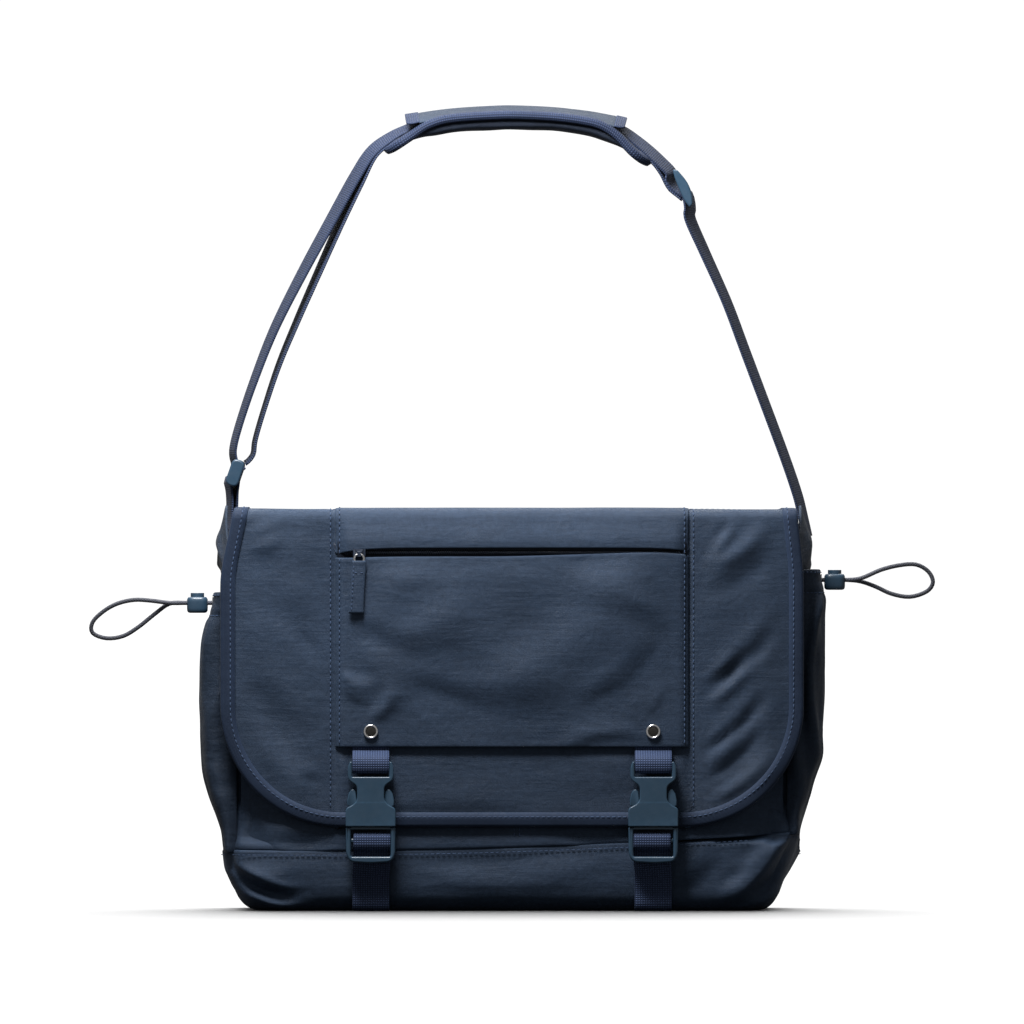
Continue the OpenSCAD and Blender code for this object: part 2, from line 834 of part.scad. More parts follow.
module pad_binding() {
    color(webbing_navy)
        for (s = [-1, 1])
            along_y(strip(pad_route, 11, 3), strap_y + s * (pad_w - pad_edge_t) / 2, pad_edge_t);
}

// ---------- drawcords and cord locks ----------

cord_r = 1.45;
strand_gap = 1.65;
lock_w = 13.6;
lock_d = 13;
lock_h = 10.4;
lock_x = [204.8, 210];
// Height of the cord above the middle of a lock
cord_up = 1.3;
plunger_r = 4.4;
plunger_travel = 1.8;

left_loop = [
    [-190, side_y - strand_gap, 199.5], [-200, side_y - strand_gap, 199.5],
    [-212, side_y - strand_gap, 199.5], [-223, side_y - strand_gap, 199.5],
    [-235, side_y - 2, 201], [-246, side_y - 2, 201.5],
    [-257, side_y - 2, 199], [-266, side_y - 1, 194], [-273, side_y, 187],
    [-273, side_y + 1, 180], [-264, side_y + 2, 176.5], [-253, side_y + 2, 178], [-243, side_y + 2, 184],
    [-233, side_y + 2, 192], [-223, side_y + strand_gap, 199], [-212, side_y + strand_gap, 199.5],
    [-200, side_y + strand_gap, 199.5], [-190, side_y + strand_gap, 199.5]
];
right_loop = [
    [196, side_y - strand_gap, 214.5], [206, side_y - strand_gap, 214.5], [217, side_y - strand_gap, 214.5],
    [227, side_y - strand_gap, 215.5], [240, side_y - 2, 221], [252, side_y - 2, 224],
    [263, side_y - 1, 224.5], [271, side_y, 220], [274, side_y, 213], [270, side_y + 1, 207],
    [259, side_y + 2, 203.5],
    [247, side_y + 2, 205.5], [237, side_y + 2, 210], [227, side_y + strand_gap, 213.5],
    [217, side_y + strand_gap, 214.5], [206, side_y + strand_gap, 214.5], [196, side_y + strand_gap, 214.5]
];

module drawcord_left() {
    color(cord_grey) tube(smooth(left_loop, 2), cord_r, 8);
}

module drawcord_right() {
    color(cord_grey) tube(smooth(right_loop, 2), cord_r, 8);
}

module lock_at(side_index) {
    translate([(side_index == 0 ? -1 : 1) * lock_x[side_index], side_y, eyelet_z[side_index] - cord_up])
        children();
}

cord_slot_w = 2 * (strand_gap + cord_r) + 0.6;

module cord_lock() {
    color(plastic_teal) difference() {
        translate([0, 0, -lock_h / 2])
            linear_extrude(lock_h)
                polygon(rounded(-lock_w / 2, -lock_d / 2, lock_w / 2, lock_d / 2, 4.5));
        translate([0, 0, -lock_h / 2 + 1]) cylinder(h = lock_h, r = plunger_r + 0.1, $fn = 48);
        translate([-lock_w, -cord_slot_w / 2, cord_up - cord_r - 0.2])
            cube([2 * lock_w, cord_slot_w, 2 * cord_r + 0.4]);
    }
}

plunger_slot_z = cord_up - cord_r - 0.15;
plunger_bottom_z = plunger_slot_z - 1.2;

module plunger() {
    color(plastic_teal) difference() {
        translate([0, 0, plunger_bottom_z])
            cylinder(h = lock_h / 2 + 2.6 - plunger_bottom_z, r = plunger_r, $fn = 48);
        translate([-lock_w, -cord_slot_w / 2, plunger_slot_z])
            cube([2 * lock_w, cord_slot_w, 2 * cord_r + 0.3 + plunger_travel]);
    }
}

module cord_lock_left() {
    lock_at(0) cord_lock();
}

module cord_lock_right() {
    lock_at(1) cord_lock();
}

module plunger_left() {
    lock_at(0) plunger();
}

module plunger_right() {
    lock_at(1) plunger();
}

spring_r = 3;
spring_wire_r = 0.25;
spring_turns = 2;

// A closed coil of round wire between two heights, with n sides
module coil(low, high, n) {
    last = 16 * spring_turns;
    points = [for (i = [0:last], k = [0:n - 1])
        let (
            turn = 360 * spring_turns * i / last,
            a = 360 * k / n,
            out = spring_r + spring_wire_r * cos(a)
        )
        [out * cos(turn), out * sin(turn), low + (high - low) * i / last + spring_wire_r * sin(a)]];
    walls = [for (i = [0:last - 1], k = [0:n - 1])
        [i * n + k, i * n + (k + 1) % n, (i + 1) * n + (k + 1) % n, (i + 1) * n + k]];
    start_cap = [[for (k = [n - 1:-1:0]) k]];
    end_cap = [[for (k = [0:n - 1]) last * n + k]];
    polyhedron(points, concat(walls, start_cap, end_cap));
}

module lock_spring() {
    low = -lock_h / 2 + 1 + spring_wire_r + 0.05;
    high = plunger_bottom_z - spring_wire_r - 0.05;
    color(steel) coil(low, high, 6);
}

module lock_spring_left() {
    lock_at(0) lock_spring();
}

module lock_spring_right() {
    lock_at(1) lock_spring();
}

// ---------- drawing ----------

base_panel();
front_panel();
back_panel();
gusset_left();
gusset_right();
base_board();
back_foam();
lining();
inner_sleeve();
top_bindings();
front_pocket();
side_pocket_left();
side_pocket_right();
side_hem_left();
side_hem_right();
eyelets();
anchor_webbing();
flap_back();
lower_webbing_left();
lower_webbing_right();
flap_top();
flap_side_left();
flap_side_right();
flap_hood();
flap_pocket_panel();
flap_band();
flap_lining();
flap_binding();
zip_tape();
upper_webbing();
buckle_socket_left();
buckle_socket_right();
snap_caps();
snap_backs();
zip_slider();
zip_pull_ring();
zip_pull_tab();
buckle_insert_left();
prong_left_a();
prong_left_b();
buckle_insert_right();
prong_right_a();
prong_right_b();
ring_tab();
strap_ring();
shoulder_webbing();
doubled_webbing();
triglide();
pad_foam();
pad_lining();
pad_cover();
pad_binding();
drawcord_left();
drawcord_right();
cord_lock_left();
cord_lock_right();
plunger_left();
plunger_right();
lock_spring_left();
lock_spring_right();
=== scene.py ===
import math
import bmesh
import bpy
import numpy as np
from mathutils import Matrix, Vector, noise


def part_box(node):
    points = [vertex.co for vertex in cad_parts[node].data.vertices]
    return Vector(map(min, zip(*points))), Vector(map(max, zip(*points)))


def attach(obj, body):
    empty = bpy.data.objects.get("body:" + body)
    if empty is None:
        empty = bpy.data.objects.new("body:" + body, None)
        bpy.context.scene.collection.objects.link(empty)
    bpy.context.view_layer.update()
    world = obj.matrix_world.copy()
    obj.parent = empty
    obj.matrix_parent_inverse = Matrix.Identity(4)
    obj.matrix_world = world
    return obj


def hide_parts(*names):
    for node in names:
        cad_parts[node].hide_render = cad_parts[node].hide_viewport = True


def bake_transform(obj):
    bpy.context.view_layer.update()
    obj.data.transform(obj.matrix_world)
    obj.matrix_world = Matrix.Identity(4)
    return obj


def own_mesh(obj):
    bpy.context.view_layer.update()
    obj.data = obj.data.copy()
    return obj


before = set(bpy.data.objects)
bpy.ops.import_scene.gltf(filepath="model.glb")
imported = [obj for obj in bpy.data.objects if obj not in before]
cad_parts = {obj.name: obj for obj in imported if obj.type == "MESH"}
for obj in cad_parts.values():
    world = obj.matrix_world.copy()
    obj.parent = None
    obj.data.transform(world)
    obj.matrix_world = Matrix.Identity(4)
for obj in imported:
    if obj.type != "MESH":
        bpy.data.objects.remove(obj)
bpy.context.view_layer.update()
MM = 0.001
UP = np.array([0.0, 0.0, 1.0])
ALONG_Y = np.array([0.0, 1.0, 0.0])


def span(node, axis):
    """Lowest and highest coordinate of a CAD node, in millimetres."""
    least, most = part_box(node)
    return least[axis] / MM, most[axis] / MM


def low(node, axis):
    return span(node, axis)[0]


def high(node, axis):
    return span(node, axis)[1]


def middle(node, axis):
    return sum(span(node, axis)) / 2


def extent(node, axis):
    least, most = span(node, axis)
    return most - least


FLAP_HALF = high("flap_top", 0)
FLAP_TOP = high("flap_top", 2)
FLAP_LOW = low("flap_binding", 2)
FOLD_Y = high("flap_top", 1)
SHELL_Y = low("flap_side_left", 1)
PANEL_Y = low("flap_pocket_panel", 1)
PANEL_HALF = high("flap_pocket_panel", 0)
PANEL_LOW = low("flap_pocket_panel", 2)
HOOD_Z = low("flap_hood", 2)
POCKET_Y = low("front_pocket", 1)
POCKET_TOP = high("front_pocket", 2)
FRONT_Y = low("front_panel", 1)
BACK_Y = high("back_panel", 1)
BODY_HALF = high("front_panel", 0)
BASE_TOP = high("base_panel", 2)
REAR_HALF = high("flap_back", 0)
STRAP_Y = middle("shoulder_webbing", 1)
STRAP_W = extent("shoulder_webbing", 1)
BUCKLE_X = middle("buckle_socket_right", 0)
BUCKLE_Y = middle("buckle_insert_right", 1)
SIDE_Y = middle("side_pocket_right", 1)


def added(name, data):
    """A new object with the given data, in the scene."""
    obj = bpy.data.objects.new(name, data)
    bpy.context.collection.objects.link(obj)
    return obj


# ---------- camera ----------

PICTURE_WIDE = 665.6
PICTURE_MID_Z = 258.7
CAMERA_AWAY = 12.0
PLANE_Y = -20.0


def make_camera():
    """A long lens looking straight at the front; the plane y = PLANE_Y fills it PICTURE_WIDE across."""
    data = bpy.data.cameras.new("camera")
    data.sensor_width = 36
    data.lens = data.sensor_width * CAMERA_AWAY / (PICTURE_WIDE * MM)
    data.clip_end = 200
    camera = added("camera", data)
    camera.location = (0, PLANE_Y * MM - CAMERA_AWAY, PICTURE_MID_Z * MM)
    camera.rotation_euler = (math.radians(90), 0, 0)
    bpy.context.scene.camera = camera
    bpy.context.scene.view_settings.view_transform = "Standard"


make_camera()


# ---------- curves ----------

def smooth(points, n):
    """A smooth curve through points, with n steps between each two."""
    p = np.array(points, float)
    p = np.vstack([p[0], p, p[-1]])
    out = []
    for a, b, c, d in zip(p, p[1:], p[2:], p[3:]):
        for t in np.arange(n) / n:
            out.append(0.5 * (2 * b + (c - a) * t + (2 * a - 5 * b + 4 * c - d) * t * t
                              + (3 * b - a - 3 * c + d) * t ** 3))
    out.append(p[-1])
    return np.array(out)


def lengths(path):
    """Distance along a path to each of its points."""
    return np.concatenate([[0], np.cumsum(np.linalg.norm(np.diff(path, axis=0), axis=1))])


def at_distance(d, s, values):
    """The value at distance d along a path whose points lie at the distances s."""
    return np.stack([np.interp(d, s, column) for column in values.T], -1)


def spread(path, count):
    """The same path through count points, evenly apart."""
    s = lengths(path)
    return at_distance(np.linspace(0, s[-1], count), s, path)


def respaced(path, step):
    """The same path with its points evenly about step apart."""
    return spread(path, max(2, int(round(lengths(path)[-1] / step)) + 1))


def stations(marks, counts):
    """Values that run from mark to mark, with the given number of them on each stretch."""
    runs = [np.linspace(a, b, n)[:-1] for a, b, n in zip(marks, marks[1:], counts)]
    return np.append(np.concatenate(runs), marks[-1])


def unit(v):
    v = np.asarray(v, float)
    return v / np.maximum(np.linalg.norm(v, axis=-1, keepdims=True), 1e-12)


def tangents(path):
    return unit(np.gradient(path, axis=0))


def in_plane_xz(points, y):
    """Points given as x and z, at one depth y, or at a depth each."""
    p = np.array(points, float)
    return np.stack([p[:, 0], np.broadcast_to(np.asarray(y, float), len(p)), p[:, 1]], -1)


def level(x, z):
    """Points at y = 0."""
    return np.stack([x, np.zeros_like(x), z], -1)


def in_plane_yz(points, x):
    p = np.array(points, float)
    return np.stack([np.full(len(p), float(x)), p[:, 0], p[:, 1]], -1)


def ease(x, a, b):
    """0 below a, 1 above b, and smooth between."""
    t = np.clip((np.asarray(x, float) - a) / (b - a), 0, 1)
    return t * t * (3 - 2 * t)


def random_field(points, size, seed):
    """A smooth random value from about -1 to 1 at each point, in lumps of the given size along x, y and z."""
    flat = np.asarray(points, float).reshape(-1, 3) / np.array(size, float)
    values = [noise.noise(Vector((a + seed * 7.3, b - seed * 3.1, c + seed * 1.7))) for a, b, c in flat]
    return np.array(values).reshape(np.asarray(points).shape[:-1])


def folds(x, z, lines):
    """Soft ridges, or valleys where the height is negative.

    Each line is (x and z at one end, x and z at the other, width, height).
    """
    d = np.zeros(np.broadcast(x, z).shape)
    for x0, z0, x1, z1, width, height in lines:
        dx, dz = x1 - x0, z1 - z0
        span = math.hypot(dx, dz)
        t = ((x - x0) * dx + (z - z0) * dz) / span ** 2
        bow = 0.07 * span * np.sin(np.clip(t, 0, 1) * math.pi)
        r = (((z - z0) * dx - (x - x0) * dz) / span + bow) / (width * (0.75 + 0.5 * np.clip(t, 0, 1)))
        along = ease(t, -0.12, 0.3) * (1 - ease(t, 0.6, 1.15))
        d = d + height * along * (np.exp(-r * r) - 0.4 * np.exp(-((r - 1.7) / 0.9) ** 2))
    return d


def creases(points, size, seed):
    """Narrow ridges between soft hollows, as in crumpled cloth, from 0 to 1."""
    return 1 - np.abs(random_field(points, size, seed)) * 2.2


# ---------- meshes ----------

def mesh_object(name, points, faces, uvs=None):
    """points in millimetres; uvs is one pair for each corner of each face, in metres."""
    mesh = bpy.data.meshes.new(name)
    mesh.from_pydata((np.asarray(points, float).reshape(-1, 3) * MM).tolist(), [], faces)
    if uvs is not None:
        layer = mesh.uv_layers.new(name="UVMap")
        layer.data.foreach_set("uv", np.asarray(uvs, np.float32).ravel())
    mesh.validate()
    mesh.shade_smooth()
    return added(name, mesh)


def grid(name, p, wrap=False, flip=False, caps=False):
    """A skin through rows and columns of points, wrapped round in its columns if asked."""
    rows, cols = p.shape[:2]
    closed = np.concatenate([p, p[:, :1]], axis=1) if wrap else p
    u = np.mean([lengths(row) for row in closed[:: max(1, rows // 6)]], axis=0) * MM
    v = np.mean([lengths(closed[:, c]) for c in range(0, closed.shape[1], max(1, cols // 6))], axis=0) * MM
    faces, uvs = [], []
    for r in range(rows - 1):
        for c in range(closed.shape[1] - 1):
            d = (c + 1) % cols
            face = [r * cols + c, r * cols + d, (r + 1) * cols + d, (r + 1) * cols + c]
            uv = [(u[c], v[r]), (u[c + 1], v[r]), (u[c + 1], v[r + 1]), (u[c], v[r + 1])]
            faces.append(face[::-1] if flip else face)
            uvs += uv[::-1] if flip else uv
    if caps:
        for r, turned in ((0, not flip), (rows - 1, flip)):
            ring = [r * cols + c for c in range(cols)]
            faces.append(ring[::-1] if turned else ring)
            uvs += [(0.0, v[r])] * cols
    return mesh_object(name, p, faces, uvs)


def thicken(obj, mm, inner=0, rim=0, even=True):
    """Gives a skin thickness on its inner side; inner and rim pick later material slots."""
    m = obj.modifiers.new("thick", "SOLIDIFY")
    m.thickness = mm * MM
    m.offset = -1
    m.use_even_offset = even
    m.material_offset = inner
    m.material_offset_rim = rim
    return obj


def subdivide(obj, levels=1):
    m = obj.modifiers.new("smooth", "SUBSURF")
    m.levels = levels
    m.render_levels = levels
    return obj


def paint(obj, *materials):
    obj.data.materials.clear()
    for m in materials:
        obj.data.materials.append(m)
    return obj


def place(obj, body, slot, *nodes):
    """Says which body a piece rides on and hides the CAD nodes that it stands for. slot is not used."""
    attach(obj, body)
    if nodes:
        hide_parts(*nodes)
    return obj


def band_section(width, thick):
    """A flat band's rounded outline, as distances across it and off it."""
    r = thick * 0.45
    w, h = width / 2, thick / 2
    corner = [(w - r + r * math.cos(a), h - r + r * math.sin(a)) for a in (0, math.pi / 4, math.pi / 2)]
    across = [(w * k, h) for k in (0.5, 0, -0.5)]
    half = corner + across + [(-x, y) for x, y in corner[::-1]]
    return np.array(half + [(-x, -y) for x, y in half])


def sweep(name, path, across, section, flip=False):
    """Carries an outline along a path. across is the direction of its first axis at each point."""
    t = tangents(path)
    a = np.broadcast_to(across, path.shape)
    a = unit(a - (a * t).sum(-1, keepdims=True) * t)
    n = np.cross(a, t)
    p = path[:, None] + section[:, :1] * a[:, None] + section[:, 1:] * n[:, None]
    return grid(name, p, wrap=True, flip=flip, caps=True)


def full_turn(n):
    """Angles all the way round."""
    return np.arange(n) * 2 * math.pi / n


def circle(r, n):
    """Points round a circle."""
    a = full_turn(n)
    return r * np.stack([np.cos(a), np.sin(a)], -1)


def squarer(v, power):
    """A sine or cosine pushed outwards, so that a round section becomes a rounded box."""
    return np.sign(v) * np.abs(v) ** power


def joined(name, objs):
    """One object made of several, in the first one's place."""
    mesh = bpy.data.meshes.new(name)
    bm = bmesh.new()
    for o in objs:
        bm.from_mesh(o.data)
    bm.to_mesh(mesh)
    bm.free()
    for o in objs:
        bpy.data.objects.remove(o)
    mesh.shade_smooth()
    return added(name, mesh)


STITCH_L = 2.5
STITCH_PITCH = 3.5


RING_SIDES = [(i, (i + 1) % 6) for i in range(6)]
STITCH_FACES = [[r + i, r + j, r + 6 + j, r + 6 + i] for r in (0, 6, 12) for i, j in RING_SIDES]
STITCH_FACES += [[5, 4, 3, 2, 1, 0], [18, 19, 20, 21, 22, 23]]


def one_stitch(c, t, n, width, length):
    """Four rings of six points round a stitch centred on c, running along t on a face with normal n."""
    b = np.cross(n, t)
    points = []
    for share, girth in ((-0.5, 0.35), (-0.3, 1), (0.3, 1), (0.5, 0.35)):
        r = girth * width / 2
        for a in [math.pi / 3 * i for i in range(6)]:
            off = r * 0.8 * math.sin(a) + 0.1 * width
            points.append(c + t * share * length + b * r * math.cos(a) + n * off)
    return points


def stitches(name, runs, width=0.75, pitch=STITCH_PITCH, length=STITCH_L):
    """Rows of thread. Each run is (path, outward normal at each point or one for all)."""
    points, faces = [], []
    for path, normal in runs:
        path = np.asarray(path, float)
        normals = unit(np.broadcast_to(normal, path.shape))
        s = lengths(path)
        count = int(s[-1] // pitch)
        for k in range(count):
            at = (k + 0.5) * s[-1] / count
            t = unit(at_distance(min(at + 0.5, s[-1]), s, path) - at_distance(max(at - 0.5, 0), s, path))
            n = unit(at_distance(at, s, normals))
            faces += [[len(points) + i for i in face] for face in STITCH_FACES]
            points += one_stitch(at_distance(at, s, path), t, n, width, length)
    return paint(mesh_object(name, points, faces), THREAD)


# ---------- materials ----------

def linear(r, g, b):
    """Screen colour from 0 to 255 as linear light."""
    return tuple(((c / 255 + 0.055) / 1.055) ** 2.4 if c > 10 else c / 3294 for c in (r, g, b))


def scaled(colour, k):
    return tuple(min(1.0, c * k) for c in colour) + (1.0,)


class Shader:
    """A material and its nodes."""

    def __init__(self, name):
        self.material = bpy.data.materials.new(name)
        self.material.use_nodes = True
        self.tree = self.material.node_tree
        self.out = self.tree.nodes["Principled BSDF"]
        self.coords = self.add("ShaderNodeTexCoord")

    def add(self, kind, **inputs):
        node = self.tree.nodes.new(kind)
        for key, value in inputs.items():
            node.inputs[key.replace("_", " ")].default_value = value
        return node

    def link(self, a, b):
        self.tree.links.new(a, b)

    def noise(self, scale, detail=3.0, distortion=0.0, vector=None):
        n = self.add("ShaderNodeTexNoise", Scale=scale, Detail=detail, Distortion=distortion)
        self.link(vector or self.coords.outputs["Object"], n.inputs["Vector"])
        return n.outputs["Fac"]

    def stretched(self, output, scale):
        m = self.add("ShaderNodeMapping", Scale=scale)
        self.link(output, m.inputs["Vector"])
        return m.outputs["Vector"]

    def wave(self, vector, pitch, direction):
        w = self.add("ShaderNodeTexWave", Scale=math.pi / 10 / (pitch * MM))
        w.bands_direction = direction
        w.wave_profile = "SIN"
        self.link(vector, w.inputs["Vector"])
        return w.outputs["Fac"]

    def times(self, a, b):
        m = self.add("ShaderNodeMath")
        m.operation = "MULTIPLY"
        self.link(a, m.inputs[0])
        self.link(b, m.inputs[1])
        return m.outputs["Value"]

    def mix_value(self, factor, a, b):
        m = self.add("ShaderNodeMix")
        self.link(factor, m.inputs["Factor"])
        self.link(a, m.inputs["A"])
        self.link(b, m.inputs["B"])
        return m.outputs["Result"]

    def ramp(self, factor, stops):
        r = self.add("ShaderNodeValToRGB")
        e = r.color_ramp.elements
        while len(e) < len(stops):
            e.new(0.5)
        for element, (at, colour) in zip(e, stops):
            element.position = at
            element.color = colour
        self.link(factor, r.inputs["Fac"])
        return r.outputs["Color"]

    def mix_colour(self, factor, a, b, how="MIX"):
        m = self.add("ShaderNodeMix")
        m.data_type = "RGBA"
        m.blend_type = how
        if isinstance(factor, float):
            m.inputs[0].default_value = factor
        else:
            self.link(factor, m.inputs[0])
        self.link(a, m.inputs[6])
        self.link(b, m.inputs[7])
        return m.outputs[2]

    def shades(self, factor, colour, *stops):
        """Darker and lighter shades of one colour, each as (position, strength)."""
        return self.ramp(factor, [(at, scaled(colour, k)) for at, k in stops])

    def mottled(self, tone, pattern, share, depth):
        """The tone made darker and lighter by a pattern."""
        stops = [(0.3, (1 - depth,) * 3 + (1,)), (0.7, (1 + depth,) * 3 + (1,))]
        return self.mix_colour(share, tone, self.ramp(pattern, stops), "MULTIPLY")

    def checked(self, scale, a, b):
        """Two patterns in turn, as on a checkerboard."""
        board = self.add("ShaderNodeTexChecker", Scale=scale, Color1=(1, 1, 1, 1), Color2=(0, 0, 0, 1))
        self.link(self.coords.outputs["UV"], board.inputs["Vector"])
        return self.mix_value(board.outputs["Fac"], a, b)

    def worn_edges(self, tone, pale, start, end, share):
        """A paler tone along the outward edges."""
        edges = self.add("ShaderNodeNewGeometry").outputs["Pointiness"]
        return self.mix_colour(self.range(edges, start, end, 0.0, share), tone, pale)

    def range(self, value, a, b, c, d):
        m = self.add("ShaderNodeMapRange")
        for k, x in zip(("From Min", "From Max", "To Min", "To Max"), (a, b, c, d)):
            m.inputs[k].default_value = x
        self.link(value, m.inputs["Value"])
        return m.outputs["Result"]

    def bump(self, height, distance, strength=1.0, under=None):
        b = self.add("ShaderNodeBump", Strength=strength, Distance=distance)
        self.link(height, b.inputs["Height"])
        if under is not None:
            self.link(under, b.inputs["Normal"])
        return b.outputs["Normal"]

    def finish(self, colour, rough, normal, sheen=0.0, sheen_rough=0.4, **constants):
        self.link(colour, self.out.inputs["Base Color"])
        self.link(rough, self.out.inputs["Roughness"])
        self.link(normal, self.out.inputs["Normal"])
        self.out.inputs["Sheen Weight"].default_value = sheen
        self.out.inputs["Sheen Roughness"].default_value = sheen_rough
        for key, value in constants.items():
            self.out.inputs[key.replace("_", " ")].default_value = value
        return self.material


def plain_weave(name, colour, pitch, sheen, rough=(0.42, 0.6), relief=0.6, crinkle=0.5):
    """Fine woven nylon or polyester, with soft crinkles and uneven colour."""
    s = Shader(name)
    uv = s.coords.outputs["UV"]
    warp = s.wave(uv, pitch, "X")
    weft = s.wave(uv, pitch, "Y")
    threads = s.checked(1 / (pitch * MM), warp, weft)
    cloudy = s.noise(14, 4, 0.4)
    tone = s.shades(cloudy, colour, (0.25, 0.86), (0.75, 1.16))
    # painted shade: the threads' low parts are darkened in colour
    groove_shade = s.ramp(threads, [(0.0, (0.72, 0.72, 0.74, 1)), (0.6, (1, 1, 1, 1))])
    tone = s.mix_colour(1.0, tone, groove_shade, "MULTIPLY")
    pale = s.shades(cloudy, colour, (0.3, 1.5), (0.7, 1.9))
    tone = s.worn_edges(tone, pale, 0.52, 0.6, 0.35)
    crumple = s.noise(70, 6, 1.2)
    grain = s.noise(330, 3, 0.6)
    tone = s.mottled(tone, grain, 0.55, 0.2)
    long = s.noise(1.0, 4, 0.8, s.stretched(s.coords.outputs["Object"], (16, 30, 55)))
    normal = s.bump(crumple, 0.0011 * crinkle, 0.8)
    normal = s.bump(grain, 0.00022, 0.6, normal)
    slubs = s.noise(1.0, 3, 0.3, s.stretched(s.coords.outputs["Object"], (45, 70, 520)))
    tone = s.mottled(tone, slubs, 0.5, 0.16)
    normal = s.bump(slubs, 0.00025, 0.6, normal)
    normal = s.bump(long, 0.0022 * crinkle, 0.7, normal)
    normal = s.bump(threads, 0.00012, relief, normal)
    rough_out = s.range(s.noise(40, 3), 0.3, 0.7, rough[0], rough[1])
    return s.finish(tone, rough_out, normal, sheen, 0.35, Specular_IOR_Level=0.14)


def ribbed_webbing(name, colour, pitch=1.45, sheen=0.25, relief=0.8):
    """Heavy webbing: ribs across its length, each broken into short floats."""
    s = Shader(name)
    uv = s.coords.outputs["UV"]
    ribs = s.wave(uv, pitch, "Y")
    floats = s.wave(uv, pitch * 1.1, "X")
    threads = s.times(ribs, floats)
    cloudy = s.noise(30, 3)
    tone = s.shades(cloudy, colour, (0.25, 0.85), (0.75, 1.15))
    # painted shade: the ribs' and floats' low parts are darkened in colour
    groove_shade = s.ramp(threads, [(0.05, (0.38, 0.38, 0.4, 1)), (0.7, (1.0, 1.0, 1.0, 1))])
    tone = s.mix_colour(1.0, tone, groove_shade, "MULTIPLY")
    pale = s.shades(cloudy, colour, (0.3, 1.4), (0.7, 1.7))
    tone = s.worn_edges(tone, pale, 0.52, 0.62, 0.4)
    fuzz = s.noise(900, 3)
    normal = s.bump(fuzz, 0.0001, 0.5)
    normal = s.bump(threads, 0.0004, relief, normal)
    rough_out = s.range(fuzz, 0.3, 0.7, 0.5, 0.72)
    return s.finish(tone, rough_out, normal, sheen, 0.4, Specular_IOR_Level=0.12)


def moulded(name, colour, rough=(0.3, 0.46)):
    """Satin moulded plastic with a fine grain and scuffed edges."""
    s = Shader(name)
    cloudy = s.noise(60, 4)
    tone = s.shades(cloudy, colour, (0.3, 0.92), (0.7, 1.08))
    pale = s.shades(s.noise(300, 4), colour, (0.35, 1.25), (0.7, 1.8))
    tone = s.worn_edges(tone, pale, 0.53, 0.62, 0.6)
    grain = s.noise(1600, 2)
    normal = s.bump(grain, 0.00006, 0.5)
    normal = s.bump(s.noise(120, 3), 0.0001, 0.4, normal)
    rough_out = s.range(s.noise(200, 5), 0.3, 0.7, rough[0], rough[1])
    return s.finish(tone, rough_out, normal, 0.0, 0.4)


def metal(name, colour, rough=(0.16, 0.34)):
    """Plated metal with fine scratches."""
    s = Shader(name)
    scratch = s.noise(1.0, 5, 0.5, s.stretched(s.coords.outputs["Object"], (300, 300, 2600)))
    tone = s.shades(s.noise(90, 3), colour, (0.3, 0.85), (0.7, 1.1))
    normal = s.bump(scratch, 0.00004, 0.5)
    rough_out = s.range(scratch, 0.3, 0.7, rough[0], rough[1])
    return s.finish(tone, rough_out, normal, Metallic=1.0)


def braided(name, colour):
    """Braided elastic cord: two crossing spirals."""
    s = Shader(name)
    uv = s.coords.outputs["UV"]
    one = s.wave(uv, 0.9, "DIAGONAL")
    other = s.wave(s.stretched(uv, (-1, 1, 1)), 0.9, "DIAGONAL")
    threads = s.checked(1100, one, other)
    # painted shade: the braid is darker where its strands dip
    tone = s.shades(threads, colour, (0.1, 0.55), (0.7, 1.25))
    normal = s.bump(threads, 0.0003, 0.8)
    rough_out = s.range(s.noise(500, 2), 0.3, 0.7, 0.55, 0.75)
    return s.finish(tone, rough_out, normal, 0.3, 0.4)


NYLON = plain_weave("nylon_shell", linear(41, 54, 72), 0.42, 0.03)
# A darker, more crinkled copy of the shell nylon: painted shade for the side pockets, their loose top corners
# and the pad cover
NYLON_SHADED_SOFT = plain_weave("nylon_gathered_shaded", linear(32, 43, 58), 0.42, 0.03, crinkle=0.9)
LINING = plain_weave("lining_cloth", linear(34, 41, 54), 0.3, 0.03, rough=(0.5, 0.65), crinkle=0.4)
BINDING = ribbed_webbing("binding_tape", linear(38, 51, 72), 0.7, 0.03, 0.4)
# A lighter copy of the webbing: painted light for the clip webbing low on the front, which lies in shade
WEBBING_LIGHTENED = ribbed_webbing("strap_webbing_lightened", linear(62, 76, 106), sheen=0.02)
# A darker copy of the same webbing: painted shade for the shoulder strap, its pad tape and end tabs, whose
# tops face the overhead light
STRAP_TAPE_DARKENED = ribbed_webbing("shoulder_tape_darkened", linear(46, 57, 82), sheen=0.02)
ZIP_TAPE = ribbed_webbing("zip_cloth", linear(16, 22, 33), 0.7, 0.02, 0.4)
PLASTIC = moulded("buckle_plastic", linear(36, 58, 76))
ZIP_COIL = moulded("zip_coil", linear(26, 34, 48), (0.35, 0.5))
THREAD = ribbed_webbing("sewing_thread", linear(58, 74, 100), 0.5, 0.03, 0.5)
STEEL = metal("nickel", (0.86, 0.85, 0.84))
GUNMETAL = metal("gunmetal", (0.1, 0.095, 0.09))
CORD = braided("elastic_cord", linear(44, 47, 58))


def cloth(obj, mm, outer=NYLON):
    """Makes a skin a soft panel with a lining behind it."""
    paint(obj, outer, LINING, outer)
    thicken(obj, mm, 1)
    return subdivide(obj)


# ---------- drawcords ----------

